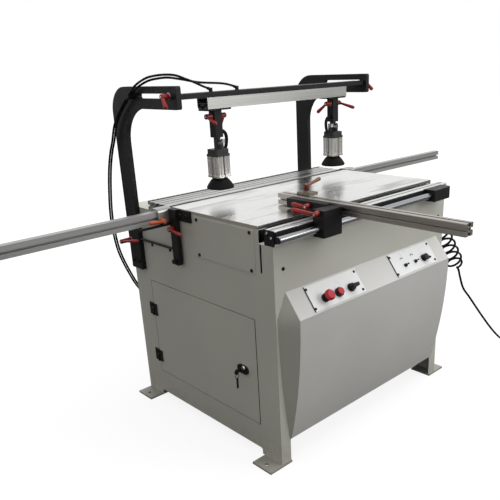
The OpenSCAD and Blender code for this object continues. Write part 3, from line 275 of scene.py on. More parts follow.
def piece(name: str, surface: Surface, finish: "Finish", body: Optional[str],
          sharp_deg: float = SHARP_DEG) -> bpy.types.Object:
    """Makes one object of a surface, dresses it and lets it ride on a body.

    Args:
        name: The piece's name.
        surface: Its points and faces, in the row frame.
        finish: What it is made of.
        body: The body that carries it, or None for a piece on no body.
        sharp_deg: The angle from which an edge looks sharp.

    Returns:
        The new object.
    """
    mesh = bpy.data.meshes.new(name)
    mesh.from_pydata(surface.points.tolist(), [], surface.faces)
    mesh.polygons.foreach_set("use_smooth", np.ones(len(mesh.polygons), bool))
    mesh.set_sharp_from_angle(angle=math.radians(sharp_deg))
    mesh.materials.append(finish.material())
    made = linked(name, mesh)
    if body is not None:
        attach(made, body)
    LOG.info("%s: %d faces", name, len(mesh.polygons))
    return made


@dataclass(frozen=True)
class Noise:
    """How a noise looks: its fineness per metre, its octaves, and how much faster it changes along each axis."""

    scale: float
    octaves: float = 2.0
    stretch: Point = (1.0, 1.0, 1.0)


class Book:
    """One material's node tree, with a short call for each kind of node."""

    def __init__(self, name: str) -> None:
        """Starts an empty material with its shader.

        Args:
            name: The material's name.
        """
        self.material = bpy.data.materials.new(name)
        self.material.use_nodes = True
        self.nodes = self.material.node_tree.nodes
        self.shader = self.nodes["Principled BSDF"]
        self.place = self.node("ShaderNodeTexCoord").outputs["Object"]

    def node(self, kind: str, values: Optional[Inputs] = None, **settings: object) -> bpy.types.Node:
        """Adds a node, sets its properties and feeds its inputs.

        Args:
            kind: The node's type.
            values: What each input gets, by the input's name or number.
            settings: The node's properties.

        Returns:
            The node.
        """
        made = self.nodes.new(kind)
        for key, value in settings.items():
            setattr(made, key, value)
        for key, value in (values or {}).items():
            self.feed(made.inputs[key], value)
        return made

    def feed(self, socket: Socket, value: object) -> None:
        """Links a socket to another, or sets its value.

        Args:
            socket: The input.
            value: An output, or a plain value.
        """
        if isinstance(value, Socket):
            self.material.node_tree.links.new(value, socket)
        else:
            socket.default_value = value

    def set(self, **sockets: object) -> None:
        """Feeds the shader's sockets.

        Args:
            sockets: What each one gets, by its short name.
        """
        names = {"Base_Color": "Base Color", "Specular": "Specular IOR Level"}
        for key, value in sockets.items():
            self.feed(self.shader.inputs[names.get(key, key)], value)

    def noise(self, kind: Noise) -> Socket:
        """A noise on the object's own place.

        Args:
            kind: How it looks.

        Returns:
            Its factor, from 0 to 1.
        """
        place = self.node("ShaderNodeMapping", {"Vector": self.place, "Scale": kind.stretch}).outputs["Vector"]
        values = {"Vector": place, "Scale": kind.scale, "Detail": kind.octaves}
        return self.node("ShaderNodeTexNoise", values).outputs["Fac"]

    def spread(self, value: Socket, span: Pair, to: Pair = FULL) -> Socket:
        """Maps a value from one span to another, and stops at the ends."""
        values = {"Value": value, "From Min": span[0], "From Max": span[1], "To Min": to[0], "To Max": to[1]}
        return self.node("ShaderNodeMapRange", values).outputs["Result"]

    def math(self, kind: str, *values: object) -> Socket:
        """One sum of one or two values."""
        return self.node("ShaderNodeMath", dict(enumerate(values)), operation=kind).outputs[0]

    def off(self, a: object, b: object) -> Socket:
        """The distance between two values."""
        return self.math("ABSOLUTE", self.math("SUBTRACT", a, b))

    def rest(self, share: Socket) -> Socket:
        """What a share leaves of 1."""
        return self.math("SUBTRACT", 1.0, share)

    def mix(self, share: Socket, a: object, b: object) -> Socket:
        """A colour between a and b; the node's inputs 6 and 7 and its output 2 are the colours."""
        first, second = (v if isinstance(v, Socket) else (*v, 1.0) for v in (a, b))
        return self.node("ShaderNodeMix", {"Factor": share, 6: first, 7: second}, data_type="RGBA").outputs[2]

    def tones(self, share: Socket, colour: Colour, low: float, high: float) -> Socket:
        """A colour between two shades of it."""
        return self.mix(share, shade(colour, low), shade(colour, high))

    def along(self, axis: Axis) -> Socket:
        """The place along one axis."""
        return self.node("ShaderNodeSeparateXYZ", {0: self.place}).outputs[axis.value]

    def zone(self, axis: Axis, low: float, high: float) -> Socket:
        """1 between two places along an axis, and 0 outside."""
        at = self.along(axis)
        return self.math("MULTIPLY", self.math("GREATER_THAN", at, low), self.math("LESS_THAN", at, high))

    def beyond(self, axis: Axis, end: float) -> Socket:
        """1 further than an end from the middle along an axis, and 0 between the ends."""
        return self.math("GREATER_THAN", self.math("ABSOLUTE", self.along(axis)), end)

    def cell(self, axis: Axis, pitch: float, cells: int) -> Socket:
        """The place from the middle of the nearest of many equal cells along an axis."""
        whole = self.math("FLOORED_MODULO", self.math("ADD", self.along(axis), (cells + 0.5) * pitch), pitch)
        return self.math("SUBTRACT", whole, pitch / 2)

    def rough(self, value: Socket, span: Pair, middle: float, change: Pair) -> None:
        """Roughness about a middle, which a value changes by two steps."""
        self.set(Roughness=self.spread(value, span, (middle + change[0], middle + change[1])))

    def relief(self, height: Socket, strength: float, depth: float, edge: float) -> None:
        """Bump of a height map over edges that look rounded.

        Args:
            height: The height map.
            strength: Share of the bump.
            depth: Its depth in metres.
            edge: Radius of the edges.
        """
        values = {"Strength": strength, "Distance": depth, "Height": height}
        if edge > 0:
            values["Normal"] = self.node("ShaderNodeBevel", {"Radius": edge}, samples=4).outputs["Normal"]
        self.set(Normal=self.node("ShaderNodeBump", values).outputs["Normal"])


def shade(colour: Colour, share: float) -> Colour:
    """A colour made lighter or darker by a share."""
    return tuple(min(1.0, c * share) for c in colour)


@dataclass(frozen=True)
class Finish:
    """A finish by name; each kind builds its own nodes."""

    name: str

    def build(self, book: Book) -> None:
        """Builds the nodes."""
        raise NotImplementedError

    def material(self) -> bpy.types.Material:
        """The finish's material, made once.

        Returns:
            The new material, or the one made before.
        """
        found = bpy.data.materials.get(self.name)
        if found is None:
            book = Book(self.name)
            self.build(book)
            found = book.material
        return found


@dataclass(frozen=True)
class Paint(Finish):
    """Sprayed paint: faint cloudy tone, orange peel, rounded edges, dust near the floor."""

    colour: Colour
    roughness: float = 0.42
    peel: float = 0.05
    edge: float = 0.0012
    dust: float = 0.0
    dust_top: float = 0.16
    dust_colour: Colour = (0.30, 0.27, 0.22)
    cloud: Noise = Noise(2.4, 4.0)
    grit: Noise = Noise(38.0, 5.0)
    spots: Noise = Noise(22.0, 3.0)
    skin: Noise = Noise(420.0)
    peel_depth: float = 0.0006
    tones: Pair = (0.95, 1.04)
    grit_share: Pair = (0.2, 1.0)
    gloss_span: Pair = (0.25, 0.75)
    gloss_change: Pair = (-0.06, 0.08)

    def build(self, book: Book) -> None:
        """Tone from wide noise, peel from fine noise, dust from height and noise.

        Args:
            book: The material's nodes.
        """
        tone = book.tones(book.spread(book.noise(self.cloud), NOISE_SPAN), self.colour, *self.tones)
        if self.dust > 0:
            low = book.spread(book.along(Axis.Z), (0.0, self.dust_top), (self.dust, 0.0))
            grit = book.spread(book.noise(self.grit), NOISE_SPAN, self.grit_share)
            tone = book.mix(book.math("MULTIPLY", low, grit), tone, self.dust_colour)
        book.set(Base_Color=tone)
        book.rough(book.noise(self.spots), self.gloss_span, self.roughness, self.gloss_change)
        book.relief(book.noise(self.skin), self.peel, self.peel_depth, self.edge)


@dataclass(frozen=True)
class BlackCoat(Finish):
    """Black powder coat with a fine grain and a breath of dust on it."""

    colour: Colour = (0.0075, 0.0075, 0.008)
    roughness: float = 0.46
    edge: float = 0.0015
    dusty: Colour = (0.022, 0.0215, 0.021)
    gloss: float = 0.22
    dust: Noise = Noise(9.0, 5.0)
    sheen: Noise = Noise(60.0, 3.0)
    grain: Noise = Noise(1500.0)
    dust_span: Pair = (0.42, 0.75)
    dust_share: Pair = (0.0, 0.3)
    gloss_change: Pair = (-0.07, 0.1)
    bump: Pair = (0.12, 0.0003)

    def build(self, book: Book) -> None:
        """Dust from wide noise, grain from a fine one.

        Args:
            book: The material's nodes.
        """
        dust = book.spread(book.noise(self.dust), self.dust_span, self.dust_share)
        book.set(Base_Color=book.mix(dust, self.colour, self.dusty), Specular=self.gloss)
        book.rough(book.noise(self.sheen), NOISE_SPAN, self.roughness, self.gloss_change)
        book.relief(book.noise(self.grain), *self.bump, self.edge)


@dataclass(frozen=True)
class DrawnMetal(Finish):
    """Drawn or ground metal with streaks along one axis."""

    colour: Colour
    axis: Axis
    roughness: float = 0.34
    streak: float = 0.06
    tone: float = 0.08
    edge: float = 0.0006
    # Past this place from the middle the colour turns dark; on the clamp rail this is painted shade in its hollow cut
    # ends.
    dark_end: float = 0.0
    # Past this place on Y the colour turns dark: painted shade along a back edge.
    shaded_back_from: float = 0.0
    fineness: float = 240.0
    metallic: float = 1.0
    # Between these places on Y the colour is darker: painted shade on a fence's top face and in its grooves.
    inner: Optional[Pair] = None
    end_colour: Colour = (0.012, 0.012, 0.013)
    back_shade_colour: Colour = (0.03, 0.03, 0.03)
    inner_shade: float = 0.78
    line: Point = (4.0, 3.0, 0.6)
    smear: tuple[float, ...] = (2.0, 4.0, 0.5, 9.0)
    bump: Pair = (0.06, 0.0002)

    def drawn(self, scale: float, octaves: float, along: float, across: float) -> Noise:
        """A noise that changes more slowly along the metal's axis than across it."""
        return Noise(scale, octaves, tuple(along if a is self.axis else across for a in Axis))

    def build(self, book: Book) -> None:
        """Streaks are noise that hardly changes along the axis; smears are wide noise; the ends may be dark, which on
        the clamp rail is painted shade in its hollow ends; a band at the back and a band between two places on Y may
        take painted shade.

        Args:
            book: The material's nodes.
        """
        lines = book.noise(self.drawn(*self.line, self.fineness))
        smears = book.noise(self.drawn(*self.smear))
        share = book.math("ADD", book.math("MULTIPLY", lines, 0.5), book.math("MULTIPLY", smears, 0.5))
        colour = book.tones(book.spread(share, NARROW_SPAN), self.colour, 1 - self.tone, 1 + self.tone)
        metal: object = self.metallic
        # Dark band at the back: painted shade along the back edge.
        if self.shaded_back_from > 0:
            rim = book.math("GREATER_THAN", book.along(Axis.Y), self.shaded_back_from)
            colour = book.mix(rim, colour, self.back_shade_colour)
        # Darker band between two places on Y: painted shade on the fence's top face and in its grooves.
        if self.inner is not None:
            colour = book.mix(book.zone(Axis.Y, *self.inner), colour, shade(self.colour, self.inner_shade))
        # Dark ends: on the clamp rail, painted shade in its hollow ends.
        if self.dark_end > 0:
            past = book.beyond(self.axis, self.dark_end)
            colour, metal = book.mix(past, colour, self.end_colour), book.rest(past)
        book.set(Base_Color=colour, Metallic=metal)
        book.rough(smears, NOISE_SPAN, self.roughness, (-self.streak, self.streak))
        book.relief(lines, *self.bump, self.edge)


@dataclass(frozen=True)
class GroundTable(Finish):
    """Polished table plate: long soft smears and fine lines, painted along its two ends."""

    colour: Colour = (0.74, 0.74, 0.725)
    paint: Colour = (0.40, 0.375, 0.32)
    stain: Colour = (0.31, 0.31, 0.30)
    end: float = 0.4994
    smears: Noise = Noise(3.2, 5.0, (0.8, 5.0, 1.0))
    lines: Noise = Noise(5.0, 3.0, (0.8, 220.0, 1.0))
    stains: Noise = Noise(5.0, 5.0, (0.55, 2.6, 1.0))
    polish: Pair = (0.16, 0.30)
    paint_roughness: float = 0.5
    tones: Pair = (0.93, 1.06)
    stain_span: Pair = (0.50, 0.68)
    stain_share: Pair = (0.0, 0.85)
    bump: Point = (0.05, 0.0002, 0.0006)

    def build(self, book: Book) -> None:
        """Smears run along X; the ends beyond a place on X take the paint.

        Args:
            book: The material's nodes.
        """
        smears = book.noise(self.smears)
        metal = book.tones(book.spread(smears, NOISE_SPAN), self.colour, *self.tones)
        stained = book.spread(book.noise(self.stains), self.stain_span, self.stain_share)
        metal = book.mix(stained, metal, self.stain)
        painted = book.beyond(Axis.X, self.end)
        book.set(Base_Color=book.mix(painted, metal, self.paint), Metallic=book.rest(painted))
        dull = book.math("MULTIPLY", painted, self.paint_roughness)
        book.set(Roughness=book.math("MAXIMUM", book.spread(smears, NOISE_SPAN, self.polish), dull))
        book.relief(book.noise(self.lines), *self.bump)


@dataclass(frozen=True)
class Moulded(Finish):
    """Moulded plastic or rubber: even colour with faint wear, and a grain."""

    colour: Colour
    roughness: float = 0.35
    grain: float = 900.0
    grain_strength: float = 0.08
    edge: float = 0.0008
    gloss: float = 0.35
    wear: Noise = Noise(30.0, 4.0)
    wear_span: Pair = (0.35, 0.75)
    tones: Pair = (0.9, 1.15)
    gloss_change: Pair = (-0.05, 0.1)
    grain_depth: float = 0.0003

    def build(self, book: Book) -> None:
        """Wear from wide noise, grain from fine noise.

        Args:
            book: The material's nodes.
        """
        wear = book.spread(book.noise(self.wear), self.wear_span)
        book.set(Base_Color=book.tones(wear, self.colour, *self.tones), Specular=self.gloss)
        book.rough(wear, FULL, self.roughness, self.gloss_change)
        book.relief(book.noise(Noise(self.grain)), self.grain_strength, self.grain_depth, self.edge)


@dataclass(frozen=True)
class HubAndArm(Finish):
    """A lever whose hub and arm have two colours: the hub lies within a radius of an upright axis."""

    middle: Point
    hub: Colour = (0.115, 0.012, 0.008)
    arm: Colour = (0.17, 0.075, 0.022)
    radius: float = 0.0106
    grain: Noise = Noise(900.0)
    roughness: float = 0.36
    gloss: float = 0.35
    bump: Point = (0.08, 0.0003, 0.0008)

    def build(self, book: Book) -> None:
        """The share of the arm is a step of the distance from the axis.

        Args:
            book: The material's nodes.
        """
        x, y = (book.math("SUBTRACT", book.along(a), self.middle[a.value]) for a in (Axis.X, Axis.Y))
        square = book.math("ADD", book.math("MULTIPLY", x, x), book.math("MULTIPLY", y, y))
        out = book.math("GREATER_THAN", square, self.radius ** 2)
        colour = book.mix(out, self.hub, self.arm)
        book.set(Base_Color=colour, Roughness=self.roughness, Specular=self.gloss)
        book.relief(book.noise(self.grain), *self.bump)


@dataclass(frozen=True)
class FlutedMetal(Finish):
    """A bright barrel between two heights, black above and below, with a dark line of painted shade along the flute at
    each face's middle.
    """

    low: float
    high: float
    colour: Colour = (0.86, 0.84, 0.80)
    black: Colour = (0.010, 0.010, 0.011)
    dusty: Colour = (0.03, 0.03, 0.029)
    roughness: Pair = (0.45, 0.22)
    metallic: float = 0.8
    middle: Pair = (0.325, 0.030)
    # Half width of the dark line along each middle flute: painted shade in the groove.
    half: float = 0.0028
    lines: Noise = Noise(4.0, 3.0, (240.0, 240.0, 0.6))
    dust: Noise = Noise(40.0, 4.0)
    tones: Pair = (0.9, 1.08)
    dust_span: Pair = (0.4, 0.75)
    dust_share: Pair = (0.0, 0.5)
    bump: Point = (0.05, 0.0002, 0.0009)

    def bright(self, book: Book) -> Socket:
        """1 where the metal shows: between the heights, and outside the painted shade along the flute at a face's
        middle.

        Args:
            book: The material's nodes.

        Returns:
            The share of metal.
        """
        across = book.off(book.math("ABSOLUTE", book.along(Axis.X)), self.middle[0])
        deep = book.off(book.along(Axis.Y), self.middle[1])
        # Outside the flute's painted shade.
        land = book.math("GREATER_THAN", book.math("MINIMUM", across, deep), self.half)
        return book.math("MULTIPLY", land, book.zone(Axis.Z, self.low, self.high))

    def build(self, book: Book) -> None:
        """The bright part is metal with streaks along Z.

        Args:
            book: The material's nodes.
        """
        band, lines = self.bright(book), book.noise(self.lines)
        metal = book.tones(book.spread(lines, NARROW_SPAN), self.colour, *self.tones)
        dust = book.spread(book.noise(self.dust), self.dust_span, self.dust_share)
        dark = book.mix(dust, self.black, self.dusty)
        book.set(Base_Color=book.mix(band, dark, metal), Metallic=book.math("MULTIPLY", band, self.metallic))
        book.set(Roughness=book.spread(band, FULL, self.roughness))
        book.relief(lines, *self.bump)


@dataclass(frozen=True)
class TwistDrills(Finish):
    """Turned spindles whose drills carry two dark flutes that wind round them."""

    pitch: float = 0.032
    cells: int = 64
    line_y: float = 0.130
    foot: float = 0.840
    lead: float = 0.026
    wear: float = 6.0
    colour: Colour = (0.55, 0.555, 0.56)
    flute: Colour = (0.05, 0.05, 0.055)
    tones: Pair = (1.0, 0.85)
    wave_span: Pair = (0.1, 0.5)
    roughness: float = 0.28
    bump: Point = (0.6, 0.0008, 0.0004)

    def build(self, book: Book) -> None:
        """The flute is sin(2 a + 2 pi z / lead) of the angle a about the nearest spindle.

        Args:
            book: The material's nodes.
        """
        out = book.math("PINGPONG", book.math("ADD", book.along(Axis.X), self.cells * self.pitch), self.pitch / 2)
        deep = book.math("SUBTRACT", book.along(Axis.Y), self.line_y)
        angle = book.math("ARCTAN2", deep, book.cell(Axis.X, self.pitch, self.cells))
        wind = book.math("MULTIPLY", book.along(Axis.Z), 2 * math.pi / self.lead)
        wave = book.math("SINE", book.math("ADD", book.math("MULTIPLY", angle, 2.0), wind))
        drill = book.math("GREATER_THAN", book.along(Axis.Z), self.foot)
        flute = book.math("MULTIPLY", book.spread(wave, self.wave_span), drill)
        tone = book.tones(book.math("MULTIPLY", out, self.wear), self.colour, *self.tones)
        book.set(Base_Color=book.mix(flute, tone, self.flute), Metallic=1.0, Roughness=self.roughness)
        book.relief(book.rest(flute), *self.bump)


@dataclass(frozen=True)
class PanelGear(Finish):
    """Switchgear on its plate: zinc plate and rails, and housings whose colour changes from row to row."""

    front_x: float = -0.4103
    rows: Pair = (0.265, 0.390)
    pitch: float = 0.084
    cells: int = 10
    pole: float = 0.018
    seam_half: float = 0.0006
    zinc: Colour = (0.46, 0.47, 0.47)
    dark: Colour = (0.035, 0.036, 0.038)
    grey: Colour = (0.40, 0.41, 0.42)
    pale: Colour = (0.52, 0.50, 0.44)
    seam: Colour = (0.015, 0.015, 0.015)
    wear: Noise = Noise(14.0, 4.0)
    grain: Noise = Noise(700.0)
    tones: Pair = (0.85, 1.1)
    roughness: Pair = (0.38, 0.52)
    bump: Point = (0.06, 0.0003, 0.0008)

    def build(self, book: Book) -> None:
        """Steps of X part plate and housings, steps of Z part the rows, and a seam runs between the poles.

        Args:
            book: The material's nodes.
        """
        case: object = self.dark
        for height, colour in zip(self.rows, (self.grey, self.pale)):
            case = book.mix(book.math("GREATER_THAN", book.along(Axis.Z), height), case, colour)
        local = book.math("ABSOLUTE", book.cell(Axis.Y, self.pitch, self.cells))
        seam = book.math("LESS_THAN", book.off(local, self.pole / 2), self.seam_half)
        case = book.mix(seam, case, self.seam)
        housing = book.math("LESS_THAN", book.along(Axis.X), self.front_x)
        wear = book.spread(book.noise(self.wear), NOISE_SPAN)
        sheet = book.tones(wear, self.zinc, *self.tones)
        book.set(Base_Color=book.mix(housing, sheet, case), Metallic=book.rest(housing))
        book.set(Roughness=book.spread(wear, FULL, self.roughness))
        book.relief(book.noise(self.grain), *self.bump)


CABINET_PAINT = Paint("cabinet paint", (0.56, 0.555, 0.497), dust=0.45)
FOOT_PAINT = Paint("foot paint", (0.33, 0.327, 0.294), dust=0.45)
# The console's flanks take a darker copy of the console paint: painted shade on the flanks.
SHADED_CHEEK_PAINT = Paint("cheek paint with painted shade", (0.44, 0.438, 0.392), dust=0.2)
CONSOLE_PAINT = Paint("console paint", (0.58, 0.575, 0.555), roughness=0.36, dust=0.2)
PLATE_PRINT = Paint("printed plate", (0.78, 0.79, 0.785), roughness=0.30, peel=0.02, edge=0.0004)
CAST_IRON = Paint("machined casting", (0.22, 0.23, 0.24), roughness=0.5, peel=0.3)
MOTOR_PAINT = Paint("motor paint", (0.10, 0.16, 0.24), roughness=0.4, peel=0.3)
BLACK_COAT = BlackCoat("black coat")
BLACK_STEEL = BlackCoat("black oxide", (0.012, 0.0115, 0.0115), roughness=0.34, edge=0.0005)
ALUMINIUM_X = DrawnMetal("aluminium along X", (0.70, 0.705, 0.70), Axis.X, tone=0.15)
ALUMINIUM_Y = DrawnMetal("aluminium along Y", (0.44, 0.412, 0.378), Axis.Y, tone=0.2)
ALUMINIUM_BLOCK = DrawnMetal("aluminium block", (0.46, 0.46, 0.45), Axis.X, roughness=0.40)
STOP_METAL = DrawnMetal("stop plate", (0.24, 0.215, 0.17), Axis.Y, roughness=0.36, tone=0.2)
# The clamp rail's cut ends take a dark colour: painted shade in its hollow ends.
CLAMP_RAIL = DrawnMetal("clamp rail", (0.42, 0.42, 0.405), Axis.X, tone=0.16, dark_end=0.3797, fineness=90.0,
                        end_colour=(0.13, 0.124, 0.135))
CHROME = DrawnMetal("hard chrome", (0.34, 0.352, 0.365), Axis.X, roughness=0.22, streak=0.04, tone=0.06, edge=0.0,
                    dark_end=0.5077)
POLISHED = DrawnMetal("polished steel", (0.80, 0.80, 0.80), Axis.X, roughness=0.12, streak=0.03, tone=0.03, edge=0.0)
BRIGHT_STEEL = DrawnMetal("turned steel", (0.55, 0.555, 0.56), Axis.Z, roughness=0.26)
BRASS = DrawnMetal("turned brass", (0.70, 0.50, 0.20), Axis.X, roughness=0.25)
TABLE_STEEL = GroundTable("ground table")
RED_PLASTIC = Moulded("red lever plastic", (0.27, 0.016, 0.014), roughness=0.34)
ORANGE_PLASTIC = Moulded("orange lever plastic", (0.48, 0.075, 0.022), roughness=0.30)
BUTTON_RED = Moulded("red button plastic", (0.46, 0.014, 0.030), roughness=0.30, grain=1400.0, grain_strength=0.03)
BLACK_PLASTIC = Moulded("black plastic", (0.008, 0.008, 0.009), roughness=0.40, gloss=0.22)
RUBBER = Moulded("black rubber", (0.008, 0.0078, 0.0078), roughness=0.66, grain=500.0, grain_strength=0.15,
                 edge=0.001, gloss=0.1)
HOSE_SKIN = Moulded("hose skin", (0.007, 0.007, 0.008), roughness=0.60, grain=1200.0, grain_strength=0.05,
                    edge=0.0, gloss=0.13)
DUCT_GREY = Moulded("wiring duct", (0.26, 0.27, 0.29), roughness=0.5)
WIRE_SKINS = (
    Moulded("brown wire", (0.085, 0.030, 0.012), roughness=0.45),
    Moulded("black wire", (0.010, 0.010, 0.011), roughness=0.45),
    Moulded("blue wire", (0.016, 0.045, 0.16), roughness=0.45),
)


class Screw(Enum):
    """Screw heads: radius, height and the radius of the drive, in metres."""

    SMALL = (0.0050, 0.0026, 0.0022)
    PANEL = (0.0065, 0.0032, 0.0026)
    SOCKET = (0.0080, 0.0070, 0.0042)
    LEVER = (0.0042, 0.0018, 0.0020)
    TERMINAL = (0.0036, 0.0014, 0.0015)

    def heads(self, places: Sequence[Point], axis: Sequence[float]) -> Surface:
        """Heads with a chamfered rim and a sunk drive, all along one axis.

        Args:
            places: Where the heads stand.
            axis: The way they point.

        Returns:
            The joined heads.
        """
        r, h, d = self.value
        rings = [(r, 0.0), (r, 0.6 * h), (0.86 * r, h), (d, h), (d, 0.35 * h), (0.2 * d, 0.35 * h)]
        return revolved(rings, sides=20).repeated(places, axis)

    def pairs(self, left: Sequence[Point]) -> Surface:
        """Heads on the left side of the machine, and at the same places on the right one."""
        return joined([self.heads(left, LEFT), self.heads([(-x, y, z) for x, y, z in left], RIGHT)])


@dataclass(frozen=True)
class Lamp:
    """A square soft lamp, which bright metal shows where it is mirrored."""

    name: str
    place: Point
    aim: Point
    size: float
    power: float
    mirrored: bool

    def build(self) -> None:
        """Hangs the lamp with its face towards its aim."""
        data = bpy.data.lights.new(self.name, "AREA")
        data.size, data.energy = self.size, self.power
        made = linked(self.name, data)
        z = unit(np.array(self.place) - np.array(self.aim))
        made.location = self.place
        made.rotation_euler = (0.0, math.acos(z[2]), math.atan2(z[1], z[0]))
        made.visible_glossy = self.mirrored


@dataclass
class Studio:
    """Camera at the photo's angle, pale floor and soft light."""

    place: Point = (-1.7716, -1.8205, 1.3854)
    turn_deg: Point = (68.861, 2.353, -43.534)
    focal_px: float = 609.2
    frame_px: float = 500.0
    middle_px: Pair = (274.8, 300.3)
    sensor_mm: float = 36.0
    clip_end: float = 100.0
    floor_size: float = 40.0
    floor_back: Colour = (0.16, 0.155, 0.145)
    floor_front: Colour = (0.85, 0.85, 0.845)
    floor_roughness: float = 0.9
    floor_share: float = 0.8
    floor_reach: Pair = (1.3, 3.2)
    floor_glow: Pair = (1.08, 1.25)
    ambient: float = 0.47
    lamps: tuple[Lamp, ...] = (
        Lamp("ceiling", (0.9, -0.6, 4.4), (0.1, -0.1, 0.8), 4.2, 165.0, False),
        Lamp("front", (2.4, -4.4, 2.6), (0.0, -0.2, 0.6), 2.4, 80.0, True),
    )

    def camera(self) -> None:
        """Sets the camera from its focal length and middle point in pixels."""
        data = bpy.data.cameras.new("camera")
        data.sensor_width = self.sensor_mm
        data.lens = self.focal_px / self.frame_px * self.sensor_mm
        data.shift_x = 0.5 - self.middle_px[0] / self.frame_px
        data.shift_y = self.middle_px[1] / self.frame_px - 0.5
        data.clip_end = self.clip_end
        made = linked("camera", data)
        made.location = self.place
        made.rotation_euler = [math.radians(a) for a in self.turn_deg]
        bpy.context.scene.camera = made

    def floor(self) -> None:
        """A floor that shows white with a soft shadow, and throws little light back at the machine."""
        half = self.floor_size / 2
        mesh = bpy.data.meshes.new("floor")
        corners = [(-half, -half, 0.0), (half, -half, 0.0), (half, half, 0.0), (-half, half, 0.0)]
        mesh.from_pydata(corners, [], [(0, 1, 2, 3)])
        book = Book("floor")
        camera = book.node("ShaderNodeLightPath").outputs["Is Camera Ray"]
        colour = book.mix(camera, self.floor_back, self.floor_front)
        book.set(Base_Color=colour, Roughness=self.floor_roughness, Specular=0.0)
        away = book.node("ShaderNodeVectorMath", {0: book.place}, operation="LENGTH").outputs["Value"]
        glow = book.node("ShaderNodeEmission", {"Strength": book.spread(away, self.floor_reach, self.floor_glow)})
        share = book.math("MULTIPLY", camera, self.floor_share)
        both = book.node("ShaderNodeMixShader", {0: share, 1: book.shader.outputs[0], 2: glow.outputs[0]})
        book.feed(book.nodes["Material Output"].inputs["Surface"], both.outputs[0])
        mesh.materials.append(book.material)
        linked("floor", mesh)

    def world(self) -> None:
        """Even light from all round, white to the camera and in reflections."""
        world = bpy.data.worlds.new("studio")
        bpy.context.scene.world = world
        world.use_nodes = True
        nodes, links = world.node_tree.nodes, world.node_tree.links
        back, path = nodes["Background"], nodes.new("ShaderNodeLightPath")
        seen = path.outputs["Is Camera Ray"]
        for ray in ("Is Glossy Ray", "Is Transmission Ray"):
            either = nodes.new("ShaderNodeMath")
            either.operation = "MAXIMUM"
            links.new(seen, either.inputs[0])
            links.new(path.outputs[ray], either.inputs[1])
            seen = either.outputs[0]
        level = nodes.new("ShaderNodeMapRange")
        level.inputs["To Min"].default_value = self.ambient
        links.new(seen, level.inputs["Value"])
        links.new(level.outputs["Result"], back.inputs["Strength"])
        back.inputs["Color"].default_value = (1.0, 1.0, 1.0, 1.0)

    def build(self) -> None:
        """Camera, floor, world and lamps."""
        self.camera()
        self.floor()
        self.world()
        bpy.context.scene.view_settings.view_transform = "Standard"
        for lamp in self.lamps:
            lamp.build()


@dataclass
class Assembly:
    """One sub-assembly of the machine, on the loaded frame."""

    frame: dict

    def dress(self, finish: Finish, *nodes: str) -> None:
        """Gives CAD nodes a finish.

        Args:
            finish: The finish.
            nodes: The nodes' names.
        """
        for name in nodes:
            shown = self.frame["nodes"][name]
            if not shown.material_slots:
                shown.data.materials.append(None)
            for slot in shown.material_slots:
                slot.material = finish.material()

    def build(self) -> None:
        """Dresses the nodes and adds the pieces."""
        raise NotImplementedError


@dataclass
class SideHose(Assembly):
    """Curly air hose from the right side, with a straight tail held outside the view."""

    diameter: float = 10 * MM
    port: Point = (0.522, -0.400, 0.690)
    curl_from: Point = (0.534, -0.400, 0.690)
    curl_to: Point = (0.664, -0.430, 0.478)
    turns: int = 6
    rings: int = 8
    ramp: float = 4.0
    radius: float = 36 * MM
    lead: float = 10 * MM
    fineness: int = 24
    tail_steps: int = 6
    sides: int = 12
    ref: Point = (0.1, 1.0, 0.3)
    tail: tuple[Point, ...] = (
        (0.684, -0.437, 0.424), (0.706, -0.445, 0.366), (0.755, -0.454, 0.308), (0.826, -0.466, 0.223),
        (0.900, -0.482, 0.134), (0.947, -0.500, 0.075), (0.985, -0.517, 0.034), (1.020, -0.530, 0.014),
        (1.046, -0.539, 0.010), (1.066, -0.546, 0.010),
    )

    def route(self) -> Array:
        """The middle line: straight out of the port, the curls, then the tail.

        A curl's point is from + l s axis + r (cos a u + sin a v), and r grows over half a turn at each end.

        Returns:
            The points of the whole hose.
        """
        start, end = np.array(self.curl_from), np.array(self.curl_to)
        axis = unit(end - start)
        u = unit(np.cross(BACK, axis))
        v = np.cross(axis, u)
        last = self.turns * self.rings
        i = np.linspace(0.0, last, self.turns * self.fineness + 1)
        a = 2 * math.pi * i / self.rings
        r = self.radius * np.minimum(1.0, np.minimum(i, last - i) / self.ramp)
        curls = start + (end - start) * (i / last)[:, None]
        curls = curls + r[:, None] * (np.cos(a)[:, None] * u + np.sin(a)[:, None] * v)
        leave = [tuple(end + n * self.lead * axis) for n in (1, 2)]
        return np.concatenate([[self.port], curls, smooth_curve([*leave, *self.tail], self.tail_steps)])

    def build(self) -> None:
        self.dress(BRASS, "hose_coupling")
        path = self.route()
        skin = tube(path, self.diameter / 2, self.sides, self.ref)
        hose = piece("side_hose", skin, HOSE_SKIN, "frame")
        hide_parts("curly_hose", "hose_tail")


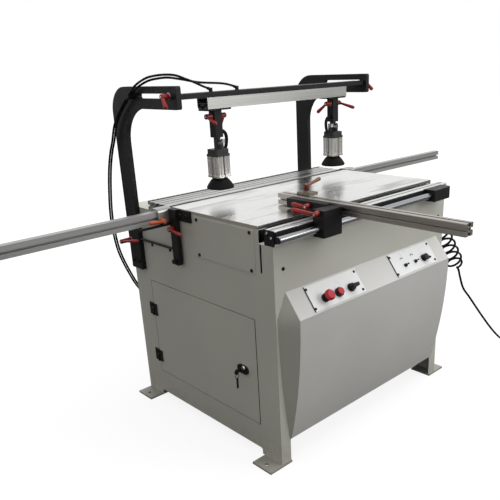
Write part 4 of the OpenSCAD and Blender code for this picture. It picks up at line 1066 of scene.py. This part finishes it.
@dataclass
class AirLines(Assembly):
    """Pair of air hoses up the left post and over to the beam."""

    diameter: float = 8 * MM
    apart: float = 10 * MM
    steps: int = 6
    sides: int = 14
    up: tuple[Point, ...] = (
        (-0.465, 0.454, 0.470), (-0.465, 0.462, 0.470), (-0.480, 0.500, 0.520), (-0.520, 0.512, 0.640),
        (-0.536, 0.512, 0.740), (-0.541, 0.506, 0.830), (-0.538, 0.495, 0.926), (-0.534, 0.477, 1.017),
        (-0.531, 0.453, 1.084), (-0.531, 0.426, 1.128), (-0.531, 0.392, 1.192), (-0.531, 0.343, 1.242),
        (-0.531, 0.293, 1.281), (-0.531, 0.2771, 1.2912), (-0.531, 0.2704, 1.29555),
    )
    over: tuple[Point, ...] = (
        (-0.541, 0.25336, 1.30661), (-0.541, 0.2469, 1.3108), (-0.541, 0.205, 1.337), (-0.541, 0.136, 1.359),
        (-0.530, 0.092, 1.367), (-0.500, 0.066, 1.369), (-0.470, 0.050, 1.365), (-0.440, 0.040, 1.353),
        (-0.410, 0.033, 1.341), (-0.382, 0.030, 1.3285), (-0.35867, 0.030, 1.31972), (-0.35116, 0.030, 1.31699),
    )
    far: tuple[Point, ...] = (
        (-0.531, 0.25336, 1.30661), (-0.531, 0.2469, 1.3108), (-0.531, 0.205, 1.331), (-0.530, 0.140, 1.350),
        (-0.518, 0.100, 1.357), (-0.484, 0.078, 1.359), (-0.433, 0.066, 1.3505), (-0.371, 0.055, 1.338),
        (-0.293, 0.042, 1.3315), (-0.262, 0.034, 1.327), (-0.23467, 0.030, 1.31972), (-0.22716, 0.030, 1.31699),
    )

    def lines(self, *routes: Sequence[Point]) -> Surface:
        """Hoses along their points."""
        return joined([tube(smooth_curve(p, self.steps), self.diameter / 2, self.sides, RIGHT) for p in routes])

    def build(self) -> None:
        """Both pairs; the upper one runs from the frame over to the beam, on no body."""
        self.dress(BLACK_PLASTIC, "hose_fittings")
        second = [(x - self.apart, y, z) for x, y, z in self.up]
        rising = piece("rising_hoses", self.lines(self.up, second), HOSE_SKIN, "frame")
        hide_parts("air_hoses")
        upper = piece("upper_hoses", self.lines(self.over, self.far), HOSE_SKIN, None)
        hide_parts("beam_hoses")
        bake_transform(upper)


@dataclass
class Cabinet(Assembly):
    """Sheet cabinet, covers, door, hinges and lock."""

    wall_x: float = -0.5
    front_y: float = -0.44
    side_screws: Profile = ((-0.040, 0.873), (-0.331, 0.873), (-0.042, 0.741), (-0.333, 0.741))
    panel_screws: Profile = ((0.282, 0.721), (0.155, 0.722))
    front_screw: Pair = (0.458, 0.759)
    leaf_x: float = -0.503
    leaf: Pair = (23 * MM, 55 * MM)
    leaf_t: float = 1.5 * MM
    leaf_edges: Pair = (2 * MM, 0.5 * MM)
    leaf_screw_in: float = 17 * MM
    leaf_screw_apart: float = 34 * MM
    leaf_screw_out: float = 1.2 * MM
    pin_x: float = -0.505
    pin_in: float = 5 * MM
    sleeve_r: float = 5.5 * MM
    sleeve_gap: float = 0.6 * MM
    # The black rod of painted shade beside the door: its radius, and how far in front of the door it lies.
    seam_r: float = 1.4 * MM
    gap_shade_off: float = 2.1 * MM
    lock_cap: Profile = ((8.5, 0.0), (8.5, 3.0), (7.0, 5.5), (4.0, 6.6))
    lock_cap_in: Pair = (9 * MM, 7 * MM)

    def build(self) -> None:
        """Finishes, panel screws, hinges, lock and the black rod of painted shade beside the door."""
        self.dress(CABINET_PAINT, "cabinet_shell", "side_covers", "door")
        self.dress(FOOT_PAINT, "feet")
        self.dress(BLACK_COAT, "door_hinges")
        self.dress(BLACK_PLASTIC, "lock_body")
        self.dress(BLACK_STEEL, "lock_key")
        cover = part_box("side_covers")[0].x
        left = [(cover, *p) for p in self.side_screws] + [(self.wall_x, *p) for p in self.panel_screws]
        x, z = self.front_screw
        front = Screw.PANEL.heads([(s * x, self.front_y, z) for s in SIDES], FRONT)
        piece("panel_screws", joined([Screw.PANEL.pairs(left), front]), BLACK_STEEL, "frame")
        self.hinges()
        self.lock()
        self.door_seam()

    def hinges(self) -> None:
        """Screws and covers of both leaves, and black sleeves over the knuckles that the door carries."""
        low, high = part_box("door_hinges")
        pin_y, half = low[1] + self.pin_in, self.leaf[1] / 2
        middles = (low[2] + half, high[2] - half)
        rows = [z + s * self.leaf_screw_apart / 2 for z in middles for s in SIDES]
        for name, body, side in (("hinge_screws", "frame", 1.0), ("door_leaf_screws", "door", -1.0)):
            y = pin_y + side * self.leaf_screw_in
            heads = Screw.SMALL.heads([(self.leaf_x - self.leaf_screw_out, y, z) for z in rows], LEFT)
            piece(name, heads, BLACK_STEEL, body)
        leaf = slab(*self.leaf, self.leaf_t, *self.leaf_edges)
        for name, body, side in (("hinge_leaf_covers", "door", -1.0), ("hinge_frame_covers", "frame", 1.0)):
            spots = [(self.leaf_x, pin_y + side * self.leaf_screw_in, z) for z in middles]
            piece(name, leaf.repeated(spots, LEFT), BLACK_COAT, body)
        third = self.leaf[1] / 3
        sleeve = revolved([(self.sleeve_r, 0.0), (self.sleeve_r, third - 2 * self.sleeve_gap)], sides=20)
        feet = [z + self.sleeve_gap for z in (low[2] + third, high[2] - 2 * third)]
        sleeves = sleeve.repeated([(self.pin_x, pin_y, z) for z in feet], UP)
        piece("hinge_sleeves", sleeves, BLACK_COAT, "door")

    def lock(self) -> None:
        """A polished cap on the lock's plate, beside the key."""
        low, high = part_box("lock_body")
        place = (low[0], (low[1] + high[1]) / 2 - self.lock_cap_in[0], high[2] - self.lock_cap_in[1])
        cap = revolved(self.lock_cap, sides=28, scale=MM).placed(place, LEFT)
        piece("lock_cap", cap, POLISHED, "door")

    def door_seam(self) -> None:
        """A thin black rod along the door's front edge, painted shade of the gap between door and wall: a straight rod
        half sunk in the wall.
        """
        low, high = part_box("door")
        path = np.linspace(*((self.wall_x, low[1] - self.gap_shade_off, z) for z in (low[2], high[2])), 3)
        piece("door_seam", tube(path, self.seam_r, sides=12, ref=RIGHT), RUBBER, "frame")


@dataclass
class Console(Assembly):
    """Console housing, control plates, buttons, switches and their printed marks."""

    slope_top: Point = (0.0, -0.440, 0.675)
    run: float = 67 * MM
    rise: float = 87 * MM
    foot: float = 0.102
    plate_t: float = 2 * MM
    plate_near: float = 100 * MM
    plate_l: float = 272 * MM
    margin: float = 7 * MM
    plate_h: float = 96 * MM
    screw_in: float = 11 * MM
    # Radius of the black bars of painted shade at the plates' left edges.
    bar_r: float = 1.6 * MM
    control_s: float = 69 * MM
    toggle_xs: Pair = (0.172, 0.240)
    mark_in: Pair = (-4 * MM, -24 * MM)
    mark_r: float = 10 * MM
    mark_width: float = 3.0 * MM
    mark_sweep: Pair = (25.0, 155.0)
    knob_x: float = 0.298
    tick_rs: Pair = (19.0, 22.5)
    tick_degs: Sequence[int] = range(-45, 226, 27)
    tick_r: float = 0.5 * MM
    selector_x: float = -0.164
    grip: tuple[float, ...] = (36 * MM, 14 * MM, 17 * MM, 4 * MM, 2 * MM)
    grip_off: Pair = (4 * MM, 13 * MM)
    edge_x: float = 0.452
    flare: float = 0.6
    toe: float = 5 * MM
    lift: float = 0.4 * MM
    cheek_rows: int = 13
    cheek_cols: int = 7
    cheek_sharp_deg: float = 80.0

    def on_slope(self, x: Union[float, Array], s: Union[float, Array], h: float = 0.0) -> Array:
        """Points at x, s down the slope and h out of the plates.

        Args:
            x: Place or places across the console.
            s: Distance or distances down the slope.
            h: Height over the plates' face.

        Returns:
            The points in the row frame.
        """
        down = np.array([0.0, -self.run, -self.rise]) / math.hypot(self.run, self.rise)
        top = np.stack(np.broadcast_arrays(x, *self.slope_top[1:]), -1)
        return top + np.multiply.outer(s, down) + (self.plate_t + h) * self.out()

    def out(self) -> Array:
        """The direction out of the slope."""
        return unit(np.array([0.0, -self.rise, self.run]))

    def arc_mark(self, x: float) -> Surface:
        """A printed arc over a toggle: points at radius r and angle a from a middle on the plate.

        Args:
            x: The toggle's place across the console.

        Returns:
            The arc as a thin closed band.
        """
        a = np.radians(np.linspace(*self.mark_sweep, 14))
        across = x + self.mark_in[0] + self.mark_r * np.cos(a)
        path = self.on_slope(across, self.control_s + self.mark_in[1] - self.mark_r * np.sin(a))
        return tube(path, self.mark_width / 2, sides=6, ref=self.out())

    def tick(self, angle: float) -> Surface:
        """One short line of the dial, between two radii at an angle from +X towards the top.

        Args:
            angle: The angle in radians.

        Returns:
            The line as a thin rod.
        """
        r = np.array(self.tick_rs) * MM
        path = self.on_slope(self.knob_x + r * math.cos(angle), self.control_s - r * math.sin(angle))
        return tube(path, self.tick_r, sides=6, ref=self.out())

    def cheek(self, side: float) -> Surface:
        """One smooth flank of the console, laid on the housing.

        At height z the flank runs from the front edge (x, front - d) to the wall (x + share d, front), where
        d is a parabola under the brow and a straight line over it.

        Args:
            side: -1 for the left flank, 1 for the right one.

        Returns:
            The flank as an open sheet.
        """
        brow, top, n = self.slope_top[2] - self.rise, self.slope_top[2], self.cheek_cols
        z = np.concatenate([np.linspace(self.foot, brow, self.cheek_rows), [(brow + top) / 2, top]])
        under = self.run - (self.run - self.toe) * ((brow - z) / (brow - self.foot)) ** 2
        depth = np.where(z <= brow, under, self.run * (top - z) / (top - brow))[:, None]
        t = np.linspace(0.0, 1.0, n)[None]
        lift = self.lift / math.hypot(1.0, self.flare)
        x = self.edge_x + self.flare * depth * t + lift
        y = self.slope_top[1] - depth * (1 - t) - self.flare * lift
        points = np.stack([side * x, y, np.broadcast_to(z[:, None], x.shape)], -1).reshape(-1, 3)
        r, c = np.meshgrid(np.arange(len(z) - 1), np.arange(n - 1), indexing="ij")
        quads = (r * n + c)[..., None] + np.array([0, 1, n + 1, n])
        quads = quads.reshape(-1, 4)[:, ::1 if side > 0 else -1]
        return Surface(points, [tuple(q) for q in quads.tolist()])

    def build(self) -> None:
        """Finishes, flanks in painted shade, plate screws, black bars of painted shade at the plates' left edges, and
        marks.
        """
        self.dress(CONSOLE_PAINT, "console_housing")
        # The flanks take a darker paint than the housing: painted shade.
        for name, side in (("left_cheek", -1.0), ("right_cheek", 1.0)):
            piece(name, self.cheek(side), SHADED_CHEEK_PAINT, "frame", self.cheek_sharp_deg)
        self.dress(PLATE_PRINT, "control_plates")
        self.dress(BLACK_PLASTIC, "control_bezels", "selector_knob", "left_toggle", "right_toggle", "rotary_knob")
        self.dress(BUTTON_RED, "estop_button", "stop_button")
        lefts = (-self.plate_near - self.plate_l, self.plate_near)
        rows = (self.margin + self.screw_in, self.margin + self.plate_h - self.screw_in)
        across = (self.screw_in / 2, self.plate_l - self.screw_in)
        spots = [tuple(self.on_slope(x + dx, s)) for x in lefts for dx in across for s in rows]
        piece("plate_screws", Screw.SMALL.heads(spots, self.out()), BLACK_STEEL, "frame")
        # Black bars along each plate's left edge: painted shade of the gap there.
        s = np.linspace(self.margin, self.margin + self.plate_h, 3)
        bars = joined([tube(self.on_slope(x, s), self.bar_r, sides=10, ref=RIGHT) for x in lefts])
        piece("plate_edge_bars", bars, BLACK_PLASTIC, "frame")
        marks = [self.arc_mark(x) for x in self.toggle_xs] + [self.tick(math.radians(a)) for a in self.tick_degs]
        piece("dial_marks", joined(marks), BLACK_PLASTIC, "frame")
        place = self.on_slope(self.selector_x + self.grip_off[0], self.control_s, self.grip_off[1])
        grip = slab(*self.grip).placed(place, self.out())
        piece("selector_grip", grip, BLACK_PLASTIC, "selector")


@dataclass
class Tables(Assembly):
    """Table plate, rear table, front rail, guide bar and the front fence on its carriage."""

    rear_colour: Colour = (0.47, 0.47, 0.46)
    rear_shade_width: float = 3 * MM
    seal_r: float = 3 * MM
    shade_strip_sunk: float = 0.4 * MM
    shade_strip_end: float = 0.499
    cap_ys: Pair = (-0.434, -0.414)
    cap_up: Pair = (28 * MM, 42 * MM)

    def build(self) -> None:
        """Finishes, painted shade along the rear table's back edge, and the end cap's screws."""
        self.dress(TABLE_STEEL, "table_plate")
        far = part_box("rear_table")[1]
        # The last few millimetres of the rear table's back take a dark colour: painted shade along its back edge.
        back = DrawnMetal("rear table metal", self.rear_colour, Axis.X, roughness=0.3, tone=0.22, fineness=22.0,
                          shaded_back_from=far.y - self.rear_shade_width)
        self.dress(back, "rear_table")
        # A black rod along the rear table's back edge: painted shade there.
        ends = (-self.shade_strip_end, 0.0, self.shade_strip_end)
        line = np.array([(x, far.y - self.seal_r, far.z - self.shade_strip_sunk) for x in ends])
        piece("rear_seal", tube(line, self.seal_r, sides=12, ref=UP), RUBBER, "frame")
        self.dress(ALUMINIUM_X, "front_rail")
        self.dress(BLACK_COAT, "rail_fittings", "front_carriage")
        self.dress(CHROME, "guide_bar")
        self.dress(ALUMINIUM_Y, "front_fence")
        self.dress(STOP_METAL, "fence_stop")
        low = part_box("rail_fittings")[0]
        heads = Screw.SMALL.heads([(low[0], y, low[2] + dz) for y, dz in zip(self.cap_ys, self.cap_up)], LEFT)
        piece("rail_cap_screws", heads, BRIGHT_STEEL, "frame")


@dataclass
class SideFences(Assembly):
    """Long side fences, their clamps and brackets."""

    colour: Colour = (0.41, 0.41, 0.406)
    skin: float = 0.8 * MM
    plate_y: Pair = (0.010, 0.050)
    plate_x: float = 0.508
    plate_z: float = 0.878
    rest: tuple[float, ...] = (140 * MM, 9.5 * MM, 5 * MM, 1.5 * MM, 0.8 * MM)
    rest_start: float = 0.525
    rest_back: float = 0.1035
    rest_z: float = 0.8418

    def build(self) -> None:
        """Finishes, bracket screws and the flat bars at the foot of the clamps."""
        low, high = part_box("left_fence")
        # Inside a thin skin on Y the fence metal is darker: painted shade on its top face and in its grooves.
        inner = (low[1] + self.skin, high[1] - self.skin)
        fence = DrawnMetal("fence metal", self.colour, Axis.X, tone=0.12, metallic=0.5, inner=inner)
        self.dress(fence, "left_fence", "right_fence")
        self.dress(ALUMINIUM_BLOCK, "fence_clamps")
        self.dress(BLACK_COAT, "fence_brackets")
        heads = Screw.SOCKET.pairs([(-self.plate_x, y, self.plate_z) for y in self.plate_y])
        piece("bracket_screws", heads, BLACK_STEEL, "frame")
        middle = self.rest_start + self.rest[0] / 2
        bars = slab(*self.rest).repeated([(s * middle, self.rest_back, self.rest_z) for s in SIDES], FRONT)
        piece("fence_rests", bars, BLACK_COAT, "frame")


@dataclass
class Gantry(Assembly):
    """Black arms, cross beam, clamp rail and both press clamps."""

    bolt_ys: Pair = (0.366, 0.408)
    bolt_zs: Pair = (0.640, 0.820)
    arm_face: float = 0.520
    cap: float = 8 * MM
    barrel: float = 86 * MM
    press_x: float = 0.325
    press_y: float = 0.030
    port_out: float = 19 * MM
    port_top: float = 1.1347
    rod_r: float = 8 * MM
    elbow_r: float = 6.5 * MM
    valve: tuple[float, ...] = (26 * MM, 17 * MM, 15 * MM, 3 * MM, 1.5 * MM)
    valve_off: Point = (14 * MM, 6 * MM, 15 * MM)
    plug_down: float = 16 * MM
    cone: Profile = (
        (46.0, 0.0), (50.5, 0.8), (52.0, 3.0), (52.0, 8.0), (50.6, 10.0), (48.0, 14.5), (44.0, 20.5), (39.5, 26.5),
        (34.0, 33.0), (29.0, 38.0), (26.0, 40.4), (23.0, 41.6), (12.0, 42.0),
    )
    bend: Profile = (
        (-6.0, 28.0), (0.0, 29.0), (12.0, 27.0), (22.0, 18.0), (26.0, 4.0), (25.0, -12.0), (21.0, -28.0), (17.0, -36.0),
    )
    nut: Profile = ((9.6, 0.0), (9.6, 8.0), (8.4, 9.0))
    plug: Profile = ((6.5, 8.0), (6.5, 18.0), (4.5, 20.0))

    def build(self) -> None:
        """Finishes, presses, fittings and post bolts."""
        self.dress(BLACK_COAT, "gantry_arms", "gantry_beam", "left_clamp", "right_clamp")
        self.dress(CLAMP_RAIL, "clamp_rail")
        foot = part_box("left_cylinder")[0].z
        cylinder = FlutedMetal("press cylinder", foot - self.cap, foot + self.barrel - self.cap)
        self.dress(cylinder, "left_cylinder", "right_cylinder")
        for side, inward in (("left", 1.0), ("right", -1.0)):
            self.press(side)
            self.fittings(side, inward)
        heads = Screw.SOCKET.pairs([(-self.arm_face, y, z) for y in self.bolt_ys for z in self.bolt_zs])
        piece("post_bolts", heads, BLACK_STEEL, "frame")

    def press(self, side: str) -> None:
        """The rubber cone and the rod of one press, in place of the plain solid.

        Args:
            side: Left or right.
        """
        low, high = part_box(f"{side}_press")
        foot = ((low[0] + high[0]) / 2, (low[1] + high[1]) / 2, low[2])
        cone = revolved(self.cone, sides=48, scale=MM).placed(foot, UP)
        pad = piece(f"{side}_pad", cone, RUBBER, f"{side}_press")
        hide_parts(f"{side}_press")
        ends = (self.cone[-1][1] * MM, high[2] - low[2])
        rod = revolved([(self.rod_r, h) for h in ends], sides=24).placed(foot, UP)
        piece(f"{side}_rod", rod, POLISHED, f"{side}_press")

    def fittings(self, side: str, inward: float) -> None:
        """An elbow and a valve at the cylinder's inner port, and a nut with its plug at the front port.

        Args:
            side: Left or right.
            inward: The way to the machine's middle along X.
        """
        x, y, z, body = -inward * self.press_x, self.press_y, self.port_top, f"{side}_clamp"
        line = [(x + inward * (self.port_out + dx * MM), y, z + dz * MM) for dx, dz in self.bend]
        elbow = tube(smooth_curve(line, steps=5), self.elbow_r, sides=14, ref=BACK)
        piece(f"{side}_elbow", elbow, HOSE_SKIN, body)
        seat = (x + inward * self.valve_off[0], y - self.valve_off[1], z - self.valve_off[2])
        piece(f"{side}_valve", slab(*self.valve).placed(seat, UP), ALUMINIUM_BLOCK, body)
        front = (x, y - self.port_out, z - self.plug_down)
        made = [revolved(self.nut, sides=6, scale=MM), revolved(self.plug, sides=20, scale=MM)]
        piece(f"{side}_plug", joined([part.placed(front, UP) for part in made]), POLISHED, body)


@dataclass(frozen=True)
class Lever:
    """One clamping lever: a hub along its axis, and an arm that leans out from the hub's end."""

    pivot: Point
    axis: Point
    arm: Point
    length: float = 70 * MM
    bulk: float = 1.0
    hub: float = 22 * MM
    washer: float = 0.0
    lean: float = 12.0
    arm_down: float = 6 * MM
    screw_sunk: float = 1.2 * MM
    root_r: float = 4.6
    swell_r: float = 2.6
    shank_share: float = 0.86
    tip_share: float = 0.12
    tip_least: float = 0.004

    def surface(self) -> Surface:
        """The hub turned from a profile, and the arm as a tube that swells to a round end.

        The arm's radius is b (root + swell s(t)) mm with s = 3t^2 - 2t^3, times a quarter ellipse at its end.

        Returns:
            The whole lever.
        """
        axis, arm = np.array(self.axis), unit(np.array(self.arm))
        h, sunk = self.hub / MM, (self.hub - self.screw_sunk) / MM
        profile = [(8.6, 0.0), (9.6, 0.8), (10.4, 3.0), (10.2, 7.0), (9.5, h - 8), (9.5, h - 2), (8.6, h - 0.6),
                   (7.6, h), (4.8, h), (4.8, sunk), (0.5, sunk)]
        hub = revolved(profile, sides=28, scale=MM).placed(self.pivot, self.axis)
        lean, round_from = math.radians(self.lean), 1.0 - self.tip_share
        way = math.cos(lean) * arm + math.sin(lean) * axis
        t = np.concatenate([np.linspace(0.0, self.shank_share, 12), np.linspace(round_from, 1.0, 9)])
        start = np.array(self.pivot) + (self.hub - self.arm_down) * axis
        path = start + t[:, None] * (self.length + self.arm_down) * way
        swell = self.root_r + self.swell_r * (3 * t ** 2 - 2 * t ** 3)
        past = np.clip(t - round_from, 0.0, None) / self.tip_share
        tip = np.sqrt(np.clip(1.0 - past ** 2, self.tip_least, 1.0))
        return joined([hub, tube(path, self.bulk * swell * tip * MM, sides=16, ref=axis)])

    def screw(self) -> Surface:
        """The screw in the hub's end, and the washer under the hub where there is one.

        Returns:
            The bright pieces.
        """
        end = np.array(self.pivot) + (self.hub - self.screw_sunk) * np.array(self.axis)
        made = [Screw.LEVER.heads([end], self.axis)]
        if self.washer > 0:
            ring = [(self.washer, 0.3 * MM), (self.washer, 2.6 * MM), (0.9 * self.washer, 3.2 * MM)]
            made.append(revolved(ring, sides=28).placed(self.pivot, self.axis))
        return joined(made)

    def mirrored(self) -> "Lever":
        """The same lever on the other side of the machine."""
        flip = [(-x, y, z) for x, y, z in (self.pivot, self.axis, self.arm)]
        return Lever(*flip, self.length, self.bulk, self.hub, self.washer, self.lean)


def slanted(turn: float, up: float) -> Point:
    """The arm's way square to X: (0, sin a, up cos a) for a turn of a degrees."""
    a = math.radians(turn)
    return (0.0, math.sin(a), up * math.cos(a))


@dataclass
class Levers(Assembly):
    """All the clamping levers, each in place of its plain solid."""

    carriage: Lever = Lever((-0.3223, -0.475, 0.923), LEFT, slanted(86, 1), 86 * MM, 1.3)
    saddle: Lever = Lever((-0.2583, -0.372, 0.92315), LEFT, slanted(85, 1), 52 * MM, 1.1)
    stop: Lever = Lever((-0.1917, -0.2985, 0.9596), UP, RIGHT)
    fence: Lever = Lever((0.556, 0.1037, 0.8581), FRONT, (0.9925, 0.0, 0.1219))
    beam: Lever = Lever((0.5203, 0.030, 1.299), RIGHT, slanted(-42, -1), 46 * MM, 1.15, 34 * MM, 12 * MM)
    upright: Lever = Lever((0.524, 0.082, 0.825), RIGHT, slanted(-90, -1), 104 * MM)
    post: Lever = Lever((0.520, 0.412, 0.727), RIGHT, slanted(-99, -1), 104 * MM, 1.0, 52 * MM, 11 * MM, -10.0)
    outer: Lever = Lever((0.342, 0.030, 1.2187), RIGHT, slanted(-74, -1), 74 * MM, 1.0, 30 * MM, 11 * MM)
    inner: Lever = Lever((0.308, 0.030, 1.2187), LEFT, slanted(130, 1), 52 * MM, 1.1, 30 * MM, 11 * MM)

    def build(self) -> None:
        """Makes every lever with its screw, the right ones of a pair last."""
        fixed = [self.upright, self.post]
        self.put("carriage_lever", "carriage_lever", RED_PLASTIC, [self.carriage])
        self.put("saddle_lever", "saddle_lever", RED_PLASTIC, [self.saddle])
        self.put("stop_lever", "stop_lever", HubAndArm("stop lever plastic", self.stop.pivot), [self.stop])
        self.put("bracket_levers", "frame", RED_PLASTIC, fixed + [lever.mirrored() for lever in fixed])
        for side in ("left", "right"):
            for node, body, finish, levers in (
                ("fence_lever", "fence_lever", ORANGE_PLASTIC, [self.fence]),
                ("beam_lever", "beam_lever", RED_PLASTIC, [self.beam]),
                ("clamp_levers", "clamp", RED_PLASTIC, [self.outer, self.inner]),
            ):
                shown = levers if side == "right" else [lever.mirrored() for lever in levers]
                self.put(f"{side}_{node}", f"{side}_{body}", finish, shown)

    def put(self, node: str, body: str, finish: Finish, levers: Sequence[Lever]) -> None:
        """Puts levers and their screws in place of one node.

        Args:
            node: The node that they stand for.
            body: The body that carries them.
            finish: What they are moulded of.
            levers: The levers.
        """
        made = piece(f"{node}_shape", joined([lever.surface() for lever in levers]), finish, body)
        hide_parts(node)
        piece(f"{node}_screw", joined([lever.screw() for lever in levers]), BRIGHT_STEEL, body)


@dataclass
class Inside(Assembly):
    """Drill unit and switchgear inside the cabinet."""

    row_zs: Point = (0.200, 0.330, 0.450)
    device_ys: tuple[float, ...] = (-0.168, -0.084, 0.0, 0.084, 0.168)
    poles: Point = (-18 * MM, 0.0, 18 * MM)
    device_h: float = 80 * MM
    plate_x: float = -0.400
    front_x: float = -0.472
    duct_zs: Pair = (0.265, 0.390)
    duct_hs: Pair = (30 * MM, 22 * MM)
    duct_edges: Pair = (3 * MM, 1.5 * MM)
    duct_front: float = -0.440
    toggle: tuple[float, ...] = (10 * MM, 17 * MM, 7 * MM, 2 * MM, 1.2 * MM)
    toggle_up: float = 2 * MM
    push: tuple[float, ...] = (32 * MM, 26 * MM, 3 * MM, 3 * MM, 1 * MM)
    terminal_up: float = 31 * MM
    wire_r: float = 1.6 * MM
    wire_shares: tuple[float, ...] = (-0.3, 0.0, 0.4, 0.8, 0.96, 1.0)
    wire_backs: tuple[float, ...] = (6.0, 6.0, 7.0, 16.0, 28.0, 34.0)

    def build(self) -> None:
        """Finishes of the inner pieces, and the switchgear's fronts and wires."""
        self.dress(CAST_IRON, "drill_head")
        self.dress(TwistDrills("twist drills"), "drill_spindles", "centre_spindle")
        self.dress(BRIGHT_STEEL, "guide_columns", "feed_cylinders")
        self.dress(MOTOR_PAINT, "motor")
        self.dress(PanelGear("switchgear on its plate"), "electrics_panel")
        self.fronts()
        for finish, pole in zip(WIRE_SKINS, self.poles):
            wires = [self.wire(y + pole, z, duct) for y in self.device_ys for z, duct in self.runs()]
            piece(finish.name.replace(" ", "_"), joined(wires), finish, "frame")

    def fronts(self) -> None:
        """Ducts on the plate, and toggles, push plates and terminal screws on the housings' fronts."""
        width = self.device_ys[-1] - self.device_ys[0] + self.device_h
        ducts = [slab(width, h, self.plate_x - self.duct_front, *self.duct_edges).placed((self.plate_x, 0.0, z), LEFT)
                 for z, h in zip(self.duct_zs, self.duct_hs)]
        piece("wiring_ducts", joined(ducts), DUCT_GREY, "frame")
        pole_ys = [y + p for y in self.device_ys for p in self.poles]
        height = self.row_zs[1] + self.toggle_up
        toggles = slab(*self.toggle).repeated([(self.front_x, y, height) for y in pole_ys], LEFT)
        piece("breaker_toggles", toggles, BLACK_PLASTIC, "frame")
        pushes = slab(*self.push).repeated([(self.front_x, y, self.row_zs[0]) for y in self.device_ys], LEFT)
        piece("contactor_fronts", pushes, DUCT_GREY, "frame")
        ends = [z + s * self.terminal_up for z in self.row_zs for s in SIDES]
        heads = Screw.TERMINAL.heads([(self.front_x, y, z) for y in pole_ys for z in ends], LEFT)
        piece("terminal_screws", heads, BRIGHT_STEEL, "frame")

    def runs(self) -> list[Pair]:
        """The end of each housing that a wire leaves, with the height of the duct that it goes to.

        Returns:
            Pairs of the two heights.
        """
        half = self.device_h / 2
        low, middle, top = self.row_zs
        return [(low + half, self.duct_zs[0]), (middle - half, self.duct_zs[0]),
                (middle + half, self.duct_zs[1]), (top - half, self.duct_zs[1])]

    def wire(self, y: float, start: float, duct: float) -> Surface:
        """One short wire that leaves a housing upright and bends into a duct's front.

        Its points lie at shares of the way from the housing's end to the duct, and back from the front.

        Args:
            y: The wire's place across the panel.
            start: Height of the housing's end.
            duct: Height of the duct.

        Returns:
            The wire.
        """
        x = self.front_x + np.array(self.wire_backs) * MM
        z = start + np.array(self.wire_shares) * (duct - start)
        path = smooth_curve(np.stack([x, np.full_like(x, y), z], -1), steps=3)
        return tube(path, self.wire_r, sides=8, ref=BACK)


def corners(bounds: Sequence[Sequence[float]]) -> list[list[float]]:
    """A box's corners as plain lists."""
    return [[float(v) for v in corner] for corner in bounds]


def main() -> None:
    """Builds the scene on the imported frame."""
    logging.basicConfig(level=logging.INFO, format="%(name)s %(message)s")
    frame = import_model()
    Studio().build()
    for part in (SideHose, AirLines, Cabinet, Console, Tables, SideFences, Gantry, Levers, Inside):
        part(frame).build()
        LOG.info("%s done", part.__name__)


if __name__ == "__main__":
    main()
